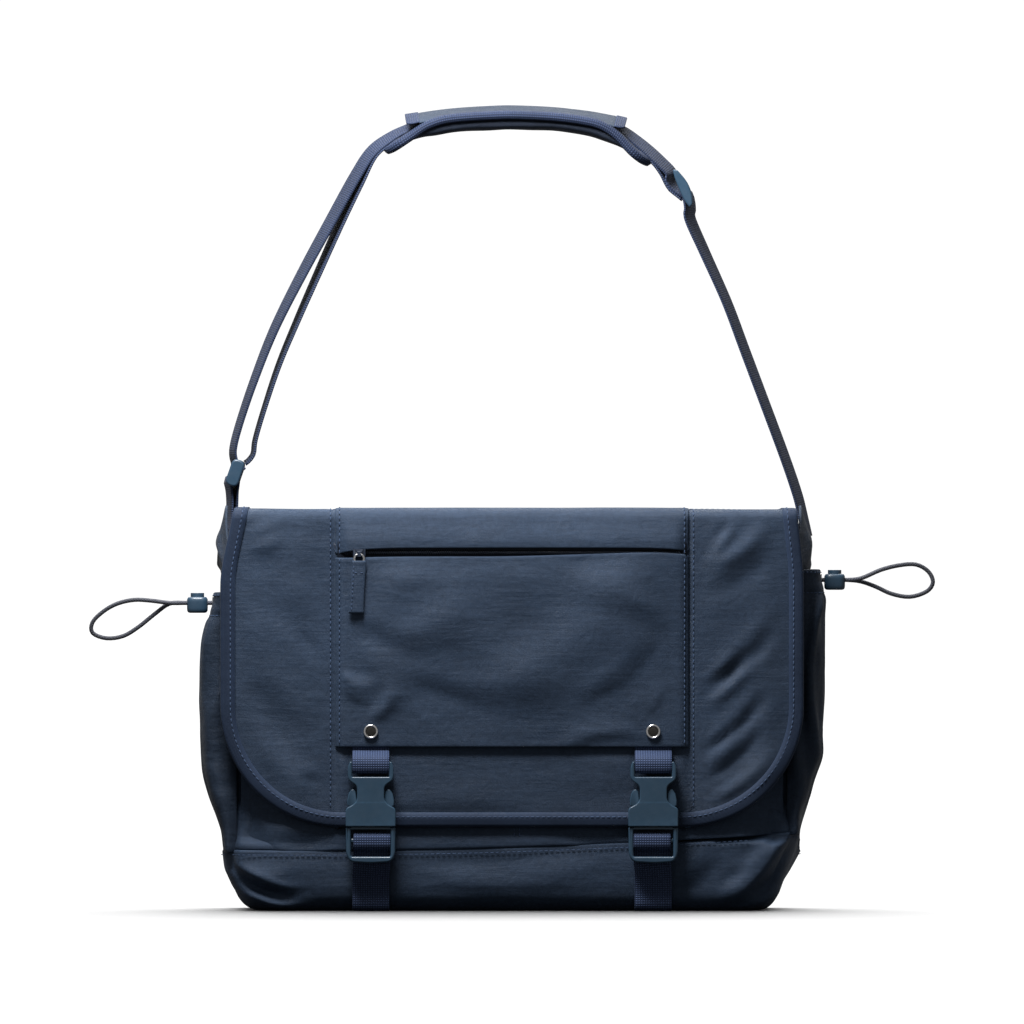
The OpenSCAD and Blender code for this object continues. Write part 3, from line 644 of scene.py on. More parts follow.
LEFT_LOOP = [
    (-190, -1.65, 199.5), (-200, -1.65, 199.5), (-212, -1.65, 199.5), (-223, -1.65, 199.5),
    (-235, -2, 201), (-246, -2, 201.5), (-257, -2, 199), (-266, -1, 194), (-273, 0, 187),
    (-273, 1, 180), (-264, 2, 176.5), (-253, 2, 178), (-243, 2, 184), (-233, 2, 192),
    (-223, 1.65, 199), (-212, 1.65, 199.5), (-200, 1.65, 199.5), (-190, 1.65, 199.5)]
RIGHT_LOOP = [
    (196, -1.65, 214.5), (206, -1.65, 214.5), (217, -1.65, 214.5), (227, -1.65, 215.5),
    (240, -2, 221), (252, -2, 224), (263, -1, 224.5), (271, 0, 220), (274, 0, 213), (270, 1, 207),
    (259, 2, 203.5), (247, 2, 205.5), (237, 2, 210), (227, 1.65, 213.5),
    (217, 1.65, 214.5), (206, 1.65, 214.5), (196, 1.65, 214.5)]
CORD_R = 1.4


def drawcord(side, route):
    """A loop of elastic cord that leaves its eyelet, passes through its lock and goes back in."""
    path = smooth([(x, SIDE_Y + y, z) for x, y, z in route], 4)
    out = np.cross(tangents(path), ALONG_Y)
    cord = paint(sweep("cord_" + side, path, out, circle(CORD_R, 12), flip=True), CORD)
    place(cord, "bag", "cord", "drawcord_" + side)
    return cord, path


CORDS = [(side, *drawcord(side, route)) for side, route in (("left", LEFT_LOOP), ("right", RIGHT_LOOP))]


# ---------- body ----------

BODY_Z = [0, 1.5, 4, 9, 16, 26, 40, 70, 140, 200, 246]
BODY_W = [166, 170, 173.5, 177.5, 181.5, 185.5, 187.6, 187, 186, 185.5, 184]
BODY_F = [-44, -48, -51, -53.6, -54.8, -55, -54.6, -46.6, -46.2, -46, -45]
BODY_B = [53, 57, 60, 62.6, 64, 64.6, 64.8, 65, 65, 64.5, 63]
MOUTH_Z = 246.0


def rounded_ring(half, front, back, r):
    """Points round a rounded rectangle, starting at the middle of the back."""
    def arc(cx, cy, a0, a1, n):
        a = np.radians(np.linspace(a0, a1, n, endpoint=False))
        return np.stack([cx + r * np.cos(a), cy + r * np.sin(a)], -1)

    def line(a, b, n):
        return np.linspace(a, b, n, endpoint=False)
    h, f, b = half - r, front + r, back - r
    return np.concatenate([
        line((0, back), (-h, back), 26), arc(-h, b, 90, 180, 10),
        line((-half, b), (-half, f), 16), arc(-h, f, 180, 270, 10),
        line((-h, front), (h, front), 84), arc(h, f, 270, 360, 10),
        line((half, f), (half, b), 16), arc(h, b, 0, 90, 10),
        line((h, back), (0, back), 26)])


def base_seam(x, y):
    """Height of the seam where the base panel ends, which the slumped front lifts on the right."""
    lift = 3 + 6.0 * np.asarray(x) / BODY_HALF + 4.0 * (np.asarray(x) / BODY_HALF) ** 2
    return BASE_TOP + np.clip(lift, -0.5, 15) * (1 - ease(y, -45, 30))


def body_skin(z_values, grow=0.0):
    """Rows of points on the outside of the body at the given heights."""
    rows = []
    for z in z_values:
        ring = rounded_ring(np.interp(z, BODY_Z, BODY_W) + grow, np.interp(z, BODY_Z, BODY_F) - grow,
                            np.interp(z, BODY_Z, BODY_B) + grow, np.interp(z, [0, 40, 246], [22, 26, 24]))
        slump = np.interp(z, [0, 6, 16, 26, 36, 46], [5, 5.5, 7, 5, 1, 0])
        ring[:, 0] -= slump * ease(ring[:, 0], 100, 180)
        rows.append(np.column_stack([ring, np.full(len(ring), float(z))]))
    p = np.array(rows)
    near = ease(p[..., 2], 8, BASE_TOP) * (1 - ease(p[..., 2], BASE_TOP, 80))
    p[..., 2] += (base_seam(p[..., 0], p[..., 1]) - BASE_TOP) * near
    corner = ease(np.abs(p[..., 0]), 150, 176) * ease(p[..., 1], 34, 52)
    p[..., 2] -= 6.5 * ease(p[..., 2], 190, MOUTH_Z) * corner
    return p


def outward(p):
    """Level direction away from the middle of the body."""
    n = np.stack([np.sign(p[..., 0]) * (np.abs(p[..., 0]) / BODY_HALF) ** 12,
                  np.where(p[..., 1] > 9, 1.0, -1.0) * (np.abs(p[..., 1] - 9) / 56) ** 12,
                  np.zeros(p.shape[:-1])], -1)
    return unit(n + 1e-9)


BODY_FOLDS = [
    (-182, 28, -140, 6, 3.5, -3.4), (-178, 14, -132, 3, 4, 2.4), (-179, 56, -181, 18, 3.5, -1.6),
    (150, 4, 190, 54, 5, -4.6), (136, 8, 172, 44, 6, 1.8), (-60, 24, 60, 30, 8, 0.8),
    (104, 12, 140, 34, 7, -1.2)]
POCKET_FOLDS = [(-160, 49, -116, 46, 5, -2.4), (-120, 62, -100, 46, 5, 1.0), (110, 60, 176, 60, 6, -1.6),
                (-172, 76, -150, 44, 5, 1.6), (30, 50, 76, 47, 4, -1.3)]


def crumpled_body(p):
    """Sag and creases: soft along the sides, sharper where the lower corners slump."""
    corner = ease(np.abs(p[..., 0]), 110, 175) * (1 - ease(p[..., 2], 60, 95)) * ease(p[..., 2], 3, 14)
    back = ease(p[..., 1], 20, 50)
    away = outward(p)
    d = 0.9 * random_field(p, (60, 60, 34), 1) * ease(p[..., 2], 8, 30)
    d += corner * 2.0 * (creases(p, (46, 46, 26), 2) - 0.7)
    d += back * (3.0 * np.sin(np.clip(p[..., 2] / 240, 0, 1) * math.pi) - 0.5
                 + 1.6 * random_field(p, (90, 90, 30), 4))
    d += 0.8 * ease(p[..., 2], 190, 240) * random_field(p, (40, 40, 60), 5)
    d += 1.5 * folds(p[..., 0], p[..., 2], BODY_FOLDS) * (1 - ease(p[..., 1], -48, -20))
    q = p + away * d[..., None]
    under_flap = (q[..., 2] > 46) & (q[..., 1] < -40)
    q[..., 1] = np.where(under_flap, np.maximum(q[..., 1], FRONT_Y - 0.8), q[..., 1])
    q[..., 1] = np.maximum(q[..., 1], -57.5)
    return q


def body_rows(p):
    """Closes the underside with rings that shrink to the middle."""
    first = p[0]
    mid = np.array([0.0, 5.0, 0.0])
    inner = []
    for k, lift in ((0.02, 2.2), (0.35, 2.0), (0.7, 1.2), (0.92, 0.5)):
        ring = mid + (first - mid) * np.array([k, k, 1])
        ring[:, 2] = lift
        inner.append(ring)
    return np.concatenate([np.array(inner), p])


def make_body():
    wall_z = np.concatenate([np.linspace(BASE_TOP + 0.1, 100, 22), np.linspace(106, MOUTH_Z, 28)])
    wall = grid("body_wall", crumpled_body(body_skin(wall_z)), wrap=True)
    paint(wall, NYLON, LINING, BINDING)
    thicken(wall, 2.6, 1, 2)
    base_z = np.concatenate([[0, 1.2, 3, 5.5, 9], np.linspace(12, BASE_TOP + 0.6, 15)])
    base = grid("body_base", body_rows(crumpled_body(body_skin(base_z, 0.9))), wrap=True)
    paint(base, NYLON, LINING, NYLON)
    thicken(base, 2.4, 1)
    for o in (wall, base):
        subdivide(o)
        place(o, "bag", "shell")
    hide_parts("front_panel", "back_panel", "gusset_left", "gusset_right", "lining", "back_foam")
    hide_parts("base_panel", "base_board")


make_body()


def base_stitching():
    """Topstitching just below the base seam, all the way round."""
    p = crumpled_body(body_skin([BASE_TOP - 2.6], 1.6))[0]
    p = np.concatenate([p, p[:1]])
    place(stitches("base_stitches", [(p, outward(p))], width=0.5), "bag", "shell")


base_stitching()


def fold_round(path, normals, inward, width, name, material, lift=0.5, thick=0.9, closed=False):
    """A tape folded over an edge: down one face, round the edge and down the other."""
    profile = np.array([(width, lift + thick), (width * 0.5, lift + thick), (1.2, lift + thick),
                        (-0.4, lift + thick * 0.4), (-0.9, -1.2), (-0.4, -2.8), (1.2, -3.4), (width, -3.4),
                        (width, -3.0), (1.4, -3.0), (0.2, -2.4), (-0.1, -1.2), (0.2, 0.0), (1.4, lift * 0.6),
                        (width * 0.5, lift * 0.6), (width, lift * 0.6)])
    inward, normals = np.broadcast_to(inward, path.shape), np.broadcast_to(normals, path.shape)
    p = path[:, None] + profile[:, :1] * inward[:, None] + profile[:, 1:] * normals[:, None]
    if closed:
        p = np.concatenate([p, p[:1]])
    obj = grid(name, p, wrap=True, caps=not closed)
    paint(obj, material)
    return obj


def make_mouth_binding():
    rim = crumpled_body(body_skin([MOUTH_Z]))[0]
    n = outward(rim)
    tape = fold_round(rim, n, -UP, 9, "mouth_binding", BINDING, 0.2, 0.7, closed=True)
    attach(tape, "bag")
    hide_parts("top_bindings")
    path = rim + n * 1.0 - UP * 6.5
    run = (np.concatenate([path, path[:1]]), np.concatenate([n, n[:1]]))
    place(stitches("mouth_stitches", [run]), "bag", "binding")


make_mouth_binding()


POCKET_X = 176.0


def pocket_depth(x, z):
    """Front of the outer pocket."""
    x = np.asarray(x, float)
    p = level(x, z)
    y = POCKET_Y - 0.2 - 0.5 * random_field(p, (70, 1, 40), 8) + 9.5 * ease(np.abs(x), 146, POCKET_X)
    y += 1.2 * np.exp(-((x - 2.3) / 2.0) ** 2) * ease(z, 50, 60)
    y += 0.9 * (creases(p, (60, 1, 24), 9) - 0.6) * ease(np.abs(x), 60, 120) * (1 - ease(z, 70, 110))
    y -= 1.6 * (1 - ease(z, 46, 56))
    y -= folds(x, z, POCKET_FOLDS)
    return np.where(z > 56, np.maximum(y, SHELL_Y + 3.2), np.maximum(y, SHELL_Y + 1.2))


def make_front_pocket():
    x = np.linspace(-POCKET_X, POCKET_X, 110)
    rows = []
    for k in np.linspace(0, 1, 40):
        bottom = base_seam(x, np.full_like(x, -50))
        z = bottom + (POCKET_TOP - bottom) * k
        rows.append(np.stack([x, pocket_depth(x, z), z], -1))
    pocket = grid("front_pocket_panel", np.array(rows))
    cloth(pocket, 1.6)
    place(pocket, "bag", "shell", "front_pocket")
    tape = fold_round(rows[-1], -ALONG_Y, -UP, 8, "pocket_binding", BINDING, 0.1, 0.6)
    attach(tape, "bag")
    z = np.linspace(48, POCKET_TOP - 6, 60)
    runs = []
    for dx in (-0.9, 2.6):
        px = np.full_like(z, 2.3 + dx)
        runs.append((np.stack([px, pocket_depth(px, z) - 0.1, z], -1), -ALONG_Y))
    zt = np.full_like(x, POCKET_TOP - 5.5)
    runs.append((np.stack([x, pocket_depth(x, zt) - 0.8, zt], -1), -ALONG_Y))
    place(stitches("pocket_stitches", runs), "bag", "shell")


make_front_pocket()


def make_sleeve():
    """The laptop sleeve: a soft panel sewn down the back of the inside."""
    front, back = span("inner_sleeve", 1)
    half = high("inner_sleeve", 0)
    x = np.linspace(-half, half, 70)
    rows = []
    for z in np.linspace(*span("inner_sleeve", 2), 30):
        p = level(x, np.full_like(x, z))
        y = front + 0.8 * random_field(p, (80, 1, 50), 11)
        y += (back + 4 - front) * ease(np.abs(x), half - 14, half)
        rows.append(np.stack([x, y, p[:, 2]], -1))
    sleeve = grid("sleeve_panel", np.array(rows))
    paint(sleeve, LINING, LINING, LINING)
    thicken(sleeve, 1.2)
    subdivide(sleeve)
    place(sleeve, "bag", "lining", "inner_sleeve")
    tape = fold_round(rows[-1], -ALONG_Y, -UP, 8, "sleeve_binding", BINDING, 0.1, 0.6)
    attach(tape, "bag")


make_sleeve()


# ---------- side pockets ----------

POUCH_Z = {"left": [36, 43, 51, 60, 71.5, 90, 114, 175], "right": [36, 46, 52, 60, 77, 101, 136, 175]}
POUCH_X = {"left": [187.2, 188.0, 188.8, 191.5, 195.6, 199.4, 201.4, 200.6],
           "right": [187.0, 187.2, 188.2, 190.2, 194.9, 201.0, 202.4, 202.6]}
POUCH_FOLDS = {
    "left": [(-196, 190, -193, 70, 5, 1.8), (-201, 186, -198, 96, 4, -1.5), (-190, 150, -188, 60, 4, 1.6)],
    "right": [(201, 200, 191.5, 182, 3.5, 2.4), (191.5, 190, 190, 66, 4, 2.4),
              (196.5, 205, 195, 88, 3.2, -2.6), (200.5, 205, 199, 100, 3, 1.8)]}


def pouch_form(side, hem, columns=72, rows=44):
    """The bulged form of a side pocket as if on the right, before it is gathered."""
    hem_x = max(abs(x) for x in span("side_hem_" + side, 0))
    heights = POUCH_Z[side] + [hem - 9, hem, hem + 7]
    widths = POUCH_X[side] + [hem_x + 2.5, hem_x - 0.2, hem_x - 0.6]
    out = []
    zs = np.concatenate([np.linspace(BASE_TOP - 1.5, hem - 12, rows - 10),
                         np.linspace(hem - 10, hem + 7, 10)])
    for z in zs:
        b = np.interp(z, heights, widths) - BODY_HALF
        near_base = 1 - ease(z, 30, 70)
        across = [(0.45 * b - 2, -47.2), (0.92 * b, -38), (b, -18), (b, 14),
                  (0.9 * b, 33), (0.4 * b, 43), (-0.5, 48)]
        line = [(178 + 0.02 * b, -45.5 + 2 * near_base)] + [(BODY_HALF + x, y) for x, y in across]
        outline = smooth(line, 8)
        x, y = spread(outline, columns).T
        out.append(np.stack([x, y, np.full(columns, z)], -1))
    return np.array(out), zs


def pocket_skin(side):
    """Rows of points on the outside of a side pocket, with y running from front to back."""
    hem = middle("side_hem_" + side, 2)
    sign = -1 if side == "left" else 1
    p, zs = pouch_form(side, hem)
    u = np.linspace(0, 1, p.shape[1])[None]
    z = p[..., 2]
    rise = base_seam(sign * p[..., 0], p[..., 1]) - BASE_TOP
    seed = 21 if side == "left" else 33
    free = np.clip(np.sin(np.pi * u), 0, 1) ** 0.5
    away = unit(np.stack([np.gradient(p[..., 1], axis=1), -np.gradient(p[..., 0], axis=1),
                          np.zeros_like(z)], -1))
    wander = random_field(p, (40, 40, 90), seed)
    pleats = np.sin(2 * math.pi * (7.5 * u + 0.7 * wander)) * (0.45 + 1.25 * ease(z, hem - 60, hem - 11))
    pleats *= 1 - 0.55 * ease(z, hem - 10, hem - 4)
    slack = 2.0 * (creases(p, (44, 26, 70), seed + 2) - 0.62)
    slack = slack * ease(z, 25, 60) * (1 - ease(z, hem - 40, hem - 10))
    tuck = -1.6 * np.exp(-((z - (hem - 8.5)) / 2.2) ** 2)
    calm = 1 - np.exp(-((p[..., 1] - SIDE_Y) / 9) ** 2) * ease(z, hem - 9, hem - 6)
    d = free * ((pleats + slack) * calm * ease(z, 38, 76) + tuck)
    d = d + folds(sign * p[..., 0], z, POUCH_FOLDS[side]) * (1 - ease(p[..., 1], -24, 0))
    p = p + away * d[..., None]
    p[..., 2] += rise * (1 - ease(z, BASE_TOP, 90))
    p[..., 0] = np.minimum(p[..., 0], 206.5)
    p[..., 0] *= sign
    away[..., 0] *= sign
    return p, away, zs, hem


def make_side_pocket(side):
    p, away, zs, hem = pocket_skin(side)
    pouch = grid("side_pouch_" + side, p, flip=side == "left")
    cloth(pouch, 1.3, NYLON_SHADED_SOFT)
    place(pouch, "bag", "shell")
    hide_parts("side_pocket_" + side, "side_hem_" + side)
    runs = []
    for dz in (-7.6, 5.4):
        k = int(np.argmin(np.abs(zs - (hem + dz))))
        runs.append((p[k][2:-2] + away[k][2:-2] * 0.1, away[k][2:-2]))
    place(stitches("side_stitches_" + side, runs, pitch=3.0, length=2.1), "bag", "shell")


for one_side in ("left", "right"):
    make_side_pocket(one_side)


EAR_Z = [198, 210, 222, 231, 238, 243, 248, 254, 264]
EAR_X = {"left": [186, 187.6, 189.2, 190.2, 192.6, 191.6, 189.4, 188.2, 186.8],
         "right": [186, 189, 193.4, 194.4, 195.2, 194.2, 192.4, 190.6, 188.6]}


def make_ear(side):
    """The loose top corner of the side panel, which wraps the end of the strap."""
    sign = -1 if side == "left" else 1
    zs = np.linspace(EAR_Z[0], EAR_Z[-1], 30)
    rows = []
    for z, tuck in [(z, 0.0) for z in zs] + [(EAR_Z[-1] - 1.5, 2.4)]:
        out = float(np.interp(z, EAR_Z, EAR_X[side])) - tuck
        line = smooth([(182.5, -40), (183.5 + 0.55 * (out - 184), -31), (out, -12), (out + 0.4, 20),
                       (out, 50), (184 + 0.6 * (out - 184), 62), (181, 65)], 8)
        x, y = spread(line, 48).T
        rows.append(np.stack([x, y, np.full(48, z)], -1))
    p = np.array(rows)
    free = np.sin(np.linspace(0, 1, 48) * math.pi)
    p[..., 0] += 1.1 * (creases(p, (30, 24, 20), 91) - 0.7) * free
    p[..., 2] -= 3.0 * (1 - free) * ease(p[..., 2], 236, 254)
    ends = 0.35 * ease(p[..., 1], 2, 46) + 0.38 * (1 - ease(p[..., 1], -38, -8))
    p[..., 2] -= (p[..., 2] - EAR_Z[0]) * ends
    p[..., 0] *= sign
    ear = grid("side_ear_" + side, p, flip=side == "left")
    cloth(ear, 1.0, NYLON_SHADED_SOFT)
    place(ear, "bag", "shell")


for one_side in ("left", "right"):
    make_ear(one_side)


# ---------- flap ----------

BEND_R = 7.0
SEAM_Y = -18.0
TOP_RUN = SEAM_Y - (SHELL_Y + BEND_R)
BEND_RUN = BEND_R * math.pi / 2
CORNER_R = 78.0


def flap_line(s):
    """y, z and outward normal at distance s along the flap, from its seam on top and down the front."""
    s = np.asarray(s, float)
    a = np.clip((s - TOP_RUN) / BEND_R, 0, math.pi / 2)
    y = np.where(s < TOP_RUN, SEAM_Y - s, SHELL_Y + BEND_R - BEND_R * np.sin(a))
    z = FLAP_TOP - BEND_R + BEND_R * np.cos(a) - np.maximum(s - TOP_RUN - BEND_RUN, 0)
    return y, z, -np.sin(a), np.cos(a)


def run_to(z):
    """Distance along the flap at which its front is at height z."""
    return TOP_RUN + BEND_RUN + (FLAP_TOP - BEND_R - np.asarray(z, float))


CORNER_S = float(run_to(FLAP_LOW + CORNER_R))
FLAP_S = float(run_to(FLAP_LOW))


FLAP_FOLDS = [
    (122, 222, 146, 258, 3.4, 1.7), (131, 243, 143, 252, 3, -1.8), (124, 222, 168, 250, 4.6, 1.5),
    (119, 203, 178, 238, 7, -1.3), (117, 141, 176, 186, 5, -2.4), (122, 130, 160, 172, 4, 2.0),
    (146, 150, 184, 196, 6, 1.0), (115, 98, 164, 139, 3.6, -2.6), (117, 92, 150, 122, 3.6, 2.0),
    (126, 70, 176, 112, 4.4, 1.8), (120, 82, 166, 122, 3.4, -1.7), (160, 92, 184, 150, 6, -0.9),
    (-179, 244, -145, 260, 5, 1.7), (-174, 236, -148, 244, 5, 1.2), (-137, 180, -119, 162, 5, -1.2),
    (-135, 140, -115, 138, 4, 1.2), (-134, 87, -117, 83, 3, -1.2), (-140, 95, -117, 91, 3.5, 1.2),
    (-174, 152, -128, 108, 10, -1.2), (-176, 220, -126, 196, 12, 0.9), (-168, 118, -124, 74, 8, 1.0)]


def flap_puff(x, s):
    """How far the flap's outer face stands off its flat level."""
    x, s = np.broadcast_arrays(np.asarray(x, float), np.asarray(s, float))
    z = flap_line(s)[1]
    p = level(x, s)
    side = ease(np.abs(x), PANEL_HALF + 4, PANEL_HALF + 26)
    side = side * (1 - ease(np.abs(x), FLAP_HALF - 26, FLAP_HALF - 8))
    front = ease(s, TOP_RUN, TOP_RUN + 30)
    d = side * front * 1.5
    lean = p.copy()
    lean[..., 0] = x * 0.83 + s * 0.55 * np.sign(x)
    lean[..., 2] = s * 0.83 - np.abs(x) * 0.55
    d = d + 1.3 * side * front * random_field(lean, (26, 1, 90), 41)
    d = d + 0.9 * (creases(lean, (34, 1, 110), 43) - 0.6) * side * ease(s, 60, 120)
    low_band = (1 - ease(z, 96, 106)) * (1 - ease(np.abs(x), PANEL_HALF - 6, PANEL_HALF))
    clear = 1 - np.exp(-((np.abs(x) - BUCKLE_X) / 13.0) ** 4)
    d = d + low_band * clear * (0.8 + 0.9 * random_field(p, (60, 1, 22), 45)) * ease(z, 60, 72)
    d = d + folds(x, z, FLAP_FOLDS) * side * ease(s, TOP_RUN + 4, TOP_RUN + BEND_RUN + 8)
    d = d - 0.8 * np.exp(-((np.abs(x) - PANEL_HALF) / 1.8) ** 2)
    d = d + (1 - front) * (1.1 * random_field(p, (60, 1, 40), 47) - 0.5)
    return np.maximum(d, -1.0 - 3.0 * ease(np.abs(x), 132, 156))


def flap_point(x, s, lift=0.0):
    """Points on the flap's outer face, and outward normals."""
    x, s = np.broadcast_arrays(np.asarray(x, float), np.asarray(s, float))
    y, z, ny, nz = flap_line(s)
    d = flap_puff(x, s) + lift
    drawn_in = np.where(x < 0, 9.0, 4.5) * (1 - ease(s, TOP_RUN - 6, TOP_RUN + BEND_RUN + 44))
    x = x - np.sign(x) * drawn_in * ease(np.abs(x), PANEL_HALF + 6, FLAP_HALF)
    n = np.stack([np.zeros_like(s), ny, nz], -1)
    return np.stack([x, y + ny * d, z + nz * d], -1), n


def flap_half(s):
    """Half the flap's width at distance s along it."""
    deep = np.clip(np.asarray(s, float) - CORNER_S, 0, CORNER_R)
    return FLAP_HALF - CORNER_R + np.sqrt(np.maximum(CORNER_R ** 2 - deep ** 2, 0))


def bend_flap(obj):
    """Bakes the transform of a piece of the flap, which lies over the bag's front top edge, into its mesh."""
    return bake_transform(obj)


def make_flap_shell():
    straight = stations([0, TOP_RUN, TOP_RUN + BEND_RUN, CORNER_S], [9, 7, 40])[:-1]
    down = np.append(straight, CORNER_S + CORNER_R * np.sin(np.radians(np.linspace(0, 90, 32))))
    across = stations([-1, -0.625, -0.595, 0.595, 0.625, 1], [26, 9, 64, 9, 26])
    rows = []
    for s in down:
        half = float(flap_half(s)) - 1.3
        straight = np.abs(across) * FLAP_HALF * np.sign(across)
        squeezed = across * half
        share = ease(s, CORNER_S - 30, FLAP_S)
        x = straight * (1 - share) + squeezed * share
        x = np.clip(x, -half, half) if half > 150 else squeezed
        rows.append(flap_point(x, s)[0])
    shell = grid("flap_shell", np.array(rows), flip=True)
    paint(shell, NYLON, LINING, NYLON)
    thicken(shell, 2.4, 1, even=False)
    bend_flap(shell)
    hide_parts("flap_side_left", "flap_side_right", "flap_band", "flap_lining")


make_flap_shell()


def edge_path(inset, lift):
    """The line at a distance inside the flap's edge, from the back seam on the left round to the right."""
    s = stations([0, TOP_RUN, TOP_RUN + BEND_RUN, CORNER_S], [9, 8, 34])[:-1]
    left = [(-FLAP_HALF + inset, a) for a in s]
    turn = np.radians(np.linspace(0, 90, 34))
    r = CORNER_R - inset
    left += [(-FLAP_HALF + CORNER_R - r * math.cos(a), CORNER_S + r * math.sin(a)) for a in turn]
    run = [(x, FLAP_S - inset) for x in np.linspace(-FLAP_HALF + CORNER_R, 0, 36)[1:]]
    half = np.array(left + run)
    xs = np.concatenate([half[:, 0], -half[:-1, 0][::-1]])
    ss = np.concatenate([half[:, 1], half[:-1, 1][::-1]])
    return flap_point(xs, ss, lift)


def make_flap_binding():
    outer, n = edge_path(0.3, 0.0)
    inner, _ = edge_path(9.3, 0.0)
    inward = unit(inner - outer)
    tape = fold_round(outer, n, inward, 8.8, "flap_edge_tape", BINDING, 0.25, 0.7)
    bend_flap(tape)
    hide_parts("flap_binding")
    line, n = edge_path(6.0, 0.95)
    thread = stitches("flap_edge_stitches", [(line, n)])
    bend_flap(thread)


make_flap_binding()


STITCH_IN = 3.2
STITCH_OUT = 2.6
PANEL_FOLDS = [
    (-114, 140, -96, 128, 4, -1.3), (-113, 157, -94, 142, 5, 1.4), (-90, 124, -75, 146, 5, 1.2),
    (-76, 172, -24, 203, 13, 1.1), (92, 124, 105, 138, 5, -1.3), (80, 116, 30, 108, 5, 0.9),
    (-24, 134, 92, 226, 18, 1.3), (50, 130, 104, 176, 9, -1.1), (-70, 150, -10, 128, 9, -0.9),
    (-104, 186, -50, 166, 8, -0.8), (100, 190, 40, 214, 9, 0.8)]


def panel_puff(x, z):
    """The zip pocket's soft crown, kept flat where the clips, snaps and zip pull lie on it."""
    x, z = np.broadcast_arrays(np.asarray(x, float), np.asarray(z, float))
    p = level(x, z)
    inside = ease(PANEL_HALF - np.abs(x), 8, 46) * ease(z, PANEL_LOW + 16, PANEL_LOW + 46)
    inside = inside * (1 - ease(z, HOOD_Z - 22, HOOD_Z - 4))
    lean = p.copy()
    lean[..., 0] = x * 0.8 + z * 0.6
    lean[..., 2] = z * 0.8 - x * 0.6
    crumple = 0.9 * (creases(lean, (52, 1, 130), 53) - 0.6)
    d = inside * (2.0 + 1.15 * random_field(lean, (40, 1, 110), 51) + crumple)
    d = d + 0.5 * random_field(p, (50, 1, 40), 55) * ease(z, PANEL_LOW + 16, PANEL_LOW + 30)
    near_pull = np.exp(-((x + 99) / 9) ** 2) * ease(z, 184, 192)
    d = d + 1.45 * folds(x, z, PANEL_FOLDS) * ease(PANEL_HALF - np.abs(x), 2, 10) * (1 - near_pull)
    edge = ease(PANEL_HALF - np.abs(x), 0, 5)
    return np.maximum(d, -0.2) - (1 - edge) * 3.0


def panel_point(x, z, lift=0.0):
    """Points on the face of the zip pocket's panel."""
    y = PANEL_Y - panel_puff(x, z) - lift
    return np.stack([x, y, z], -1)


def hood_edge(x):
    """Height of the hood's lower edge, which dips to the seams at both ends."""
    return HOOD_Z - 4.6 * np.exp(-(x + PANEL_HALF) / 13) - 2.4 * np.exp(-(PANEL_HALF - x) / 11)


def make_zip_panel():
    x = np.linspace(-PANEL_HALF, PANEL_HALF, 86)
    top = hood_edge(x) - 4.8 + 4.0 * np.exp(-(x + PANEL_HALF) / 9) + 3.2 * ease(x, -20, PANEL_HALF)
    rows = []
    for k in np.linspace(0, 1, 52):
        rows.append(panel_point(x, PANEL_LOW + (top - PANEL_LOW) * k))
    rows = np.array(rows)
    folded = rows[:1] + (0, 1.4, 0.5)
    tucked = rows[-1:] + (0, 1.6, -0.4)
    panel = grid("zip_pocket_panel", np.concatenate([folded, rows, tucked]))
    cloth(panel, 1.2)
    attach(panel, "flap_front")
    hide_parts("flap_pocket_panel")
    z = np.linspace(PANEL_LOW + 2, HOOD_Z - 6, 70)
    runs = []
    for sx in (-1, 1):
        px = np.full_like(z, sx * (PANEL_HALF - STITCH_IN))
        runs.append((panel_point(px, z, 0.05), -ALONG_Y))
    place(stitches("panel_stitches", runs), "flap_front", "shell")


make_zip_panel()


def make_hood():
    """The band of shell fabric that folds down over the zip."""
    x = np.linspace(-PANEL_HALF + 0.3, PANEL_HALF - 0.3, 86)
    bottom = run_to(hood_edge(x))
    rows = []
    for k in stations([0, 0.5, 0.75, 1], [9, 9, 12]):
        s = bottom * k
        ends = ease(PANEL_HALF - np.abs(x), 0, 9)
        lift = 0.7 + ends * 4.0 * ease(s, TOP_RUN + 4, TOP_RUN + BEND_RUN + 16)
        p, n = flap_point(x, s, 0)
        p = p + n * (lift - flap_puff(x, s) * 0.6)[:, None]
        p[:, 1] -= 0.3 * random_field(p, (60, 60, 20), 61) * ends
        rows.append(p)
    rows = np.array(rows)
    turned = rows[-1:] + (0, 1.3, 1.2)
    hood = grid("zip_hood", np.concatenate([rows, turned]), flip=True)
    cloth(hood, 1.0)
    bend_flap(hood)
    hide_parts("flap_hood")


make_hood()


def make_seam_stitches():
    """Topstitching beside the seams that join the flap's middle to its sides, and across its top."""
    runs = []
    for sx in (-1, 1):
        top = np.linspace(3, float(run_to(HOOD_Z - 4)), 50)
        p, n = flap_point(np.full_like(top, sx * (PANEL_HALF - STITCH_IN)), top, 1.1)
        p[:, 1] -= 0.9 * ease(top, TOP_RUN, TOP_RUN + 24)
        runs.append((p, n))
        for s in (top, np.linspace(float(run_to(HOOD_Z)), FLAP_S - 12, 90)):
            runs.append(flap_point(np.full_like(s, sx * (PANEL_HALF + STITCH_OUT)), s, 0.1))
    xs = np.linspace(-FLAP_HALF + 10, FLAP_HALF - 10, 90)
    p, n = flap_point(xs, np.full_like(xs, 3.0), -0.15)
    p[:, 2] += np.where(np.abs(xs) < PANEL_HALF, 0.7, 0.0)
    runs.append((p, n))
    thread = stitches("seam_stitches", runs)
    bend_flap(thread)


make_seam_stitches()


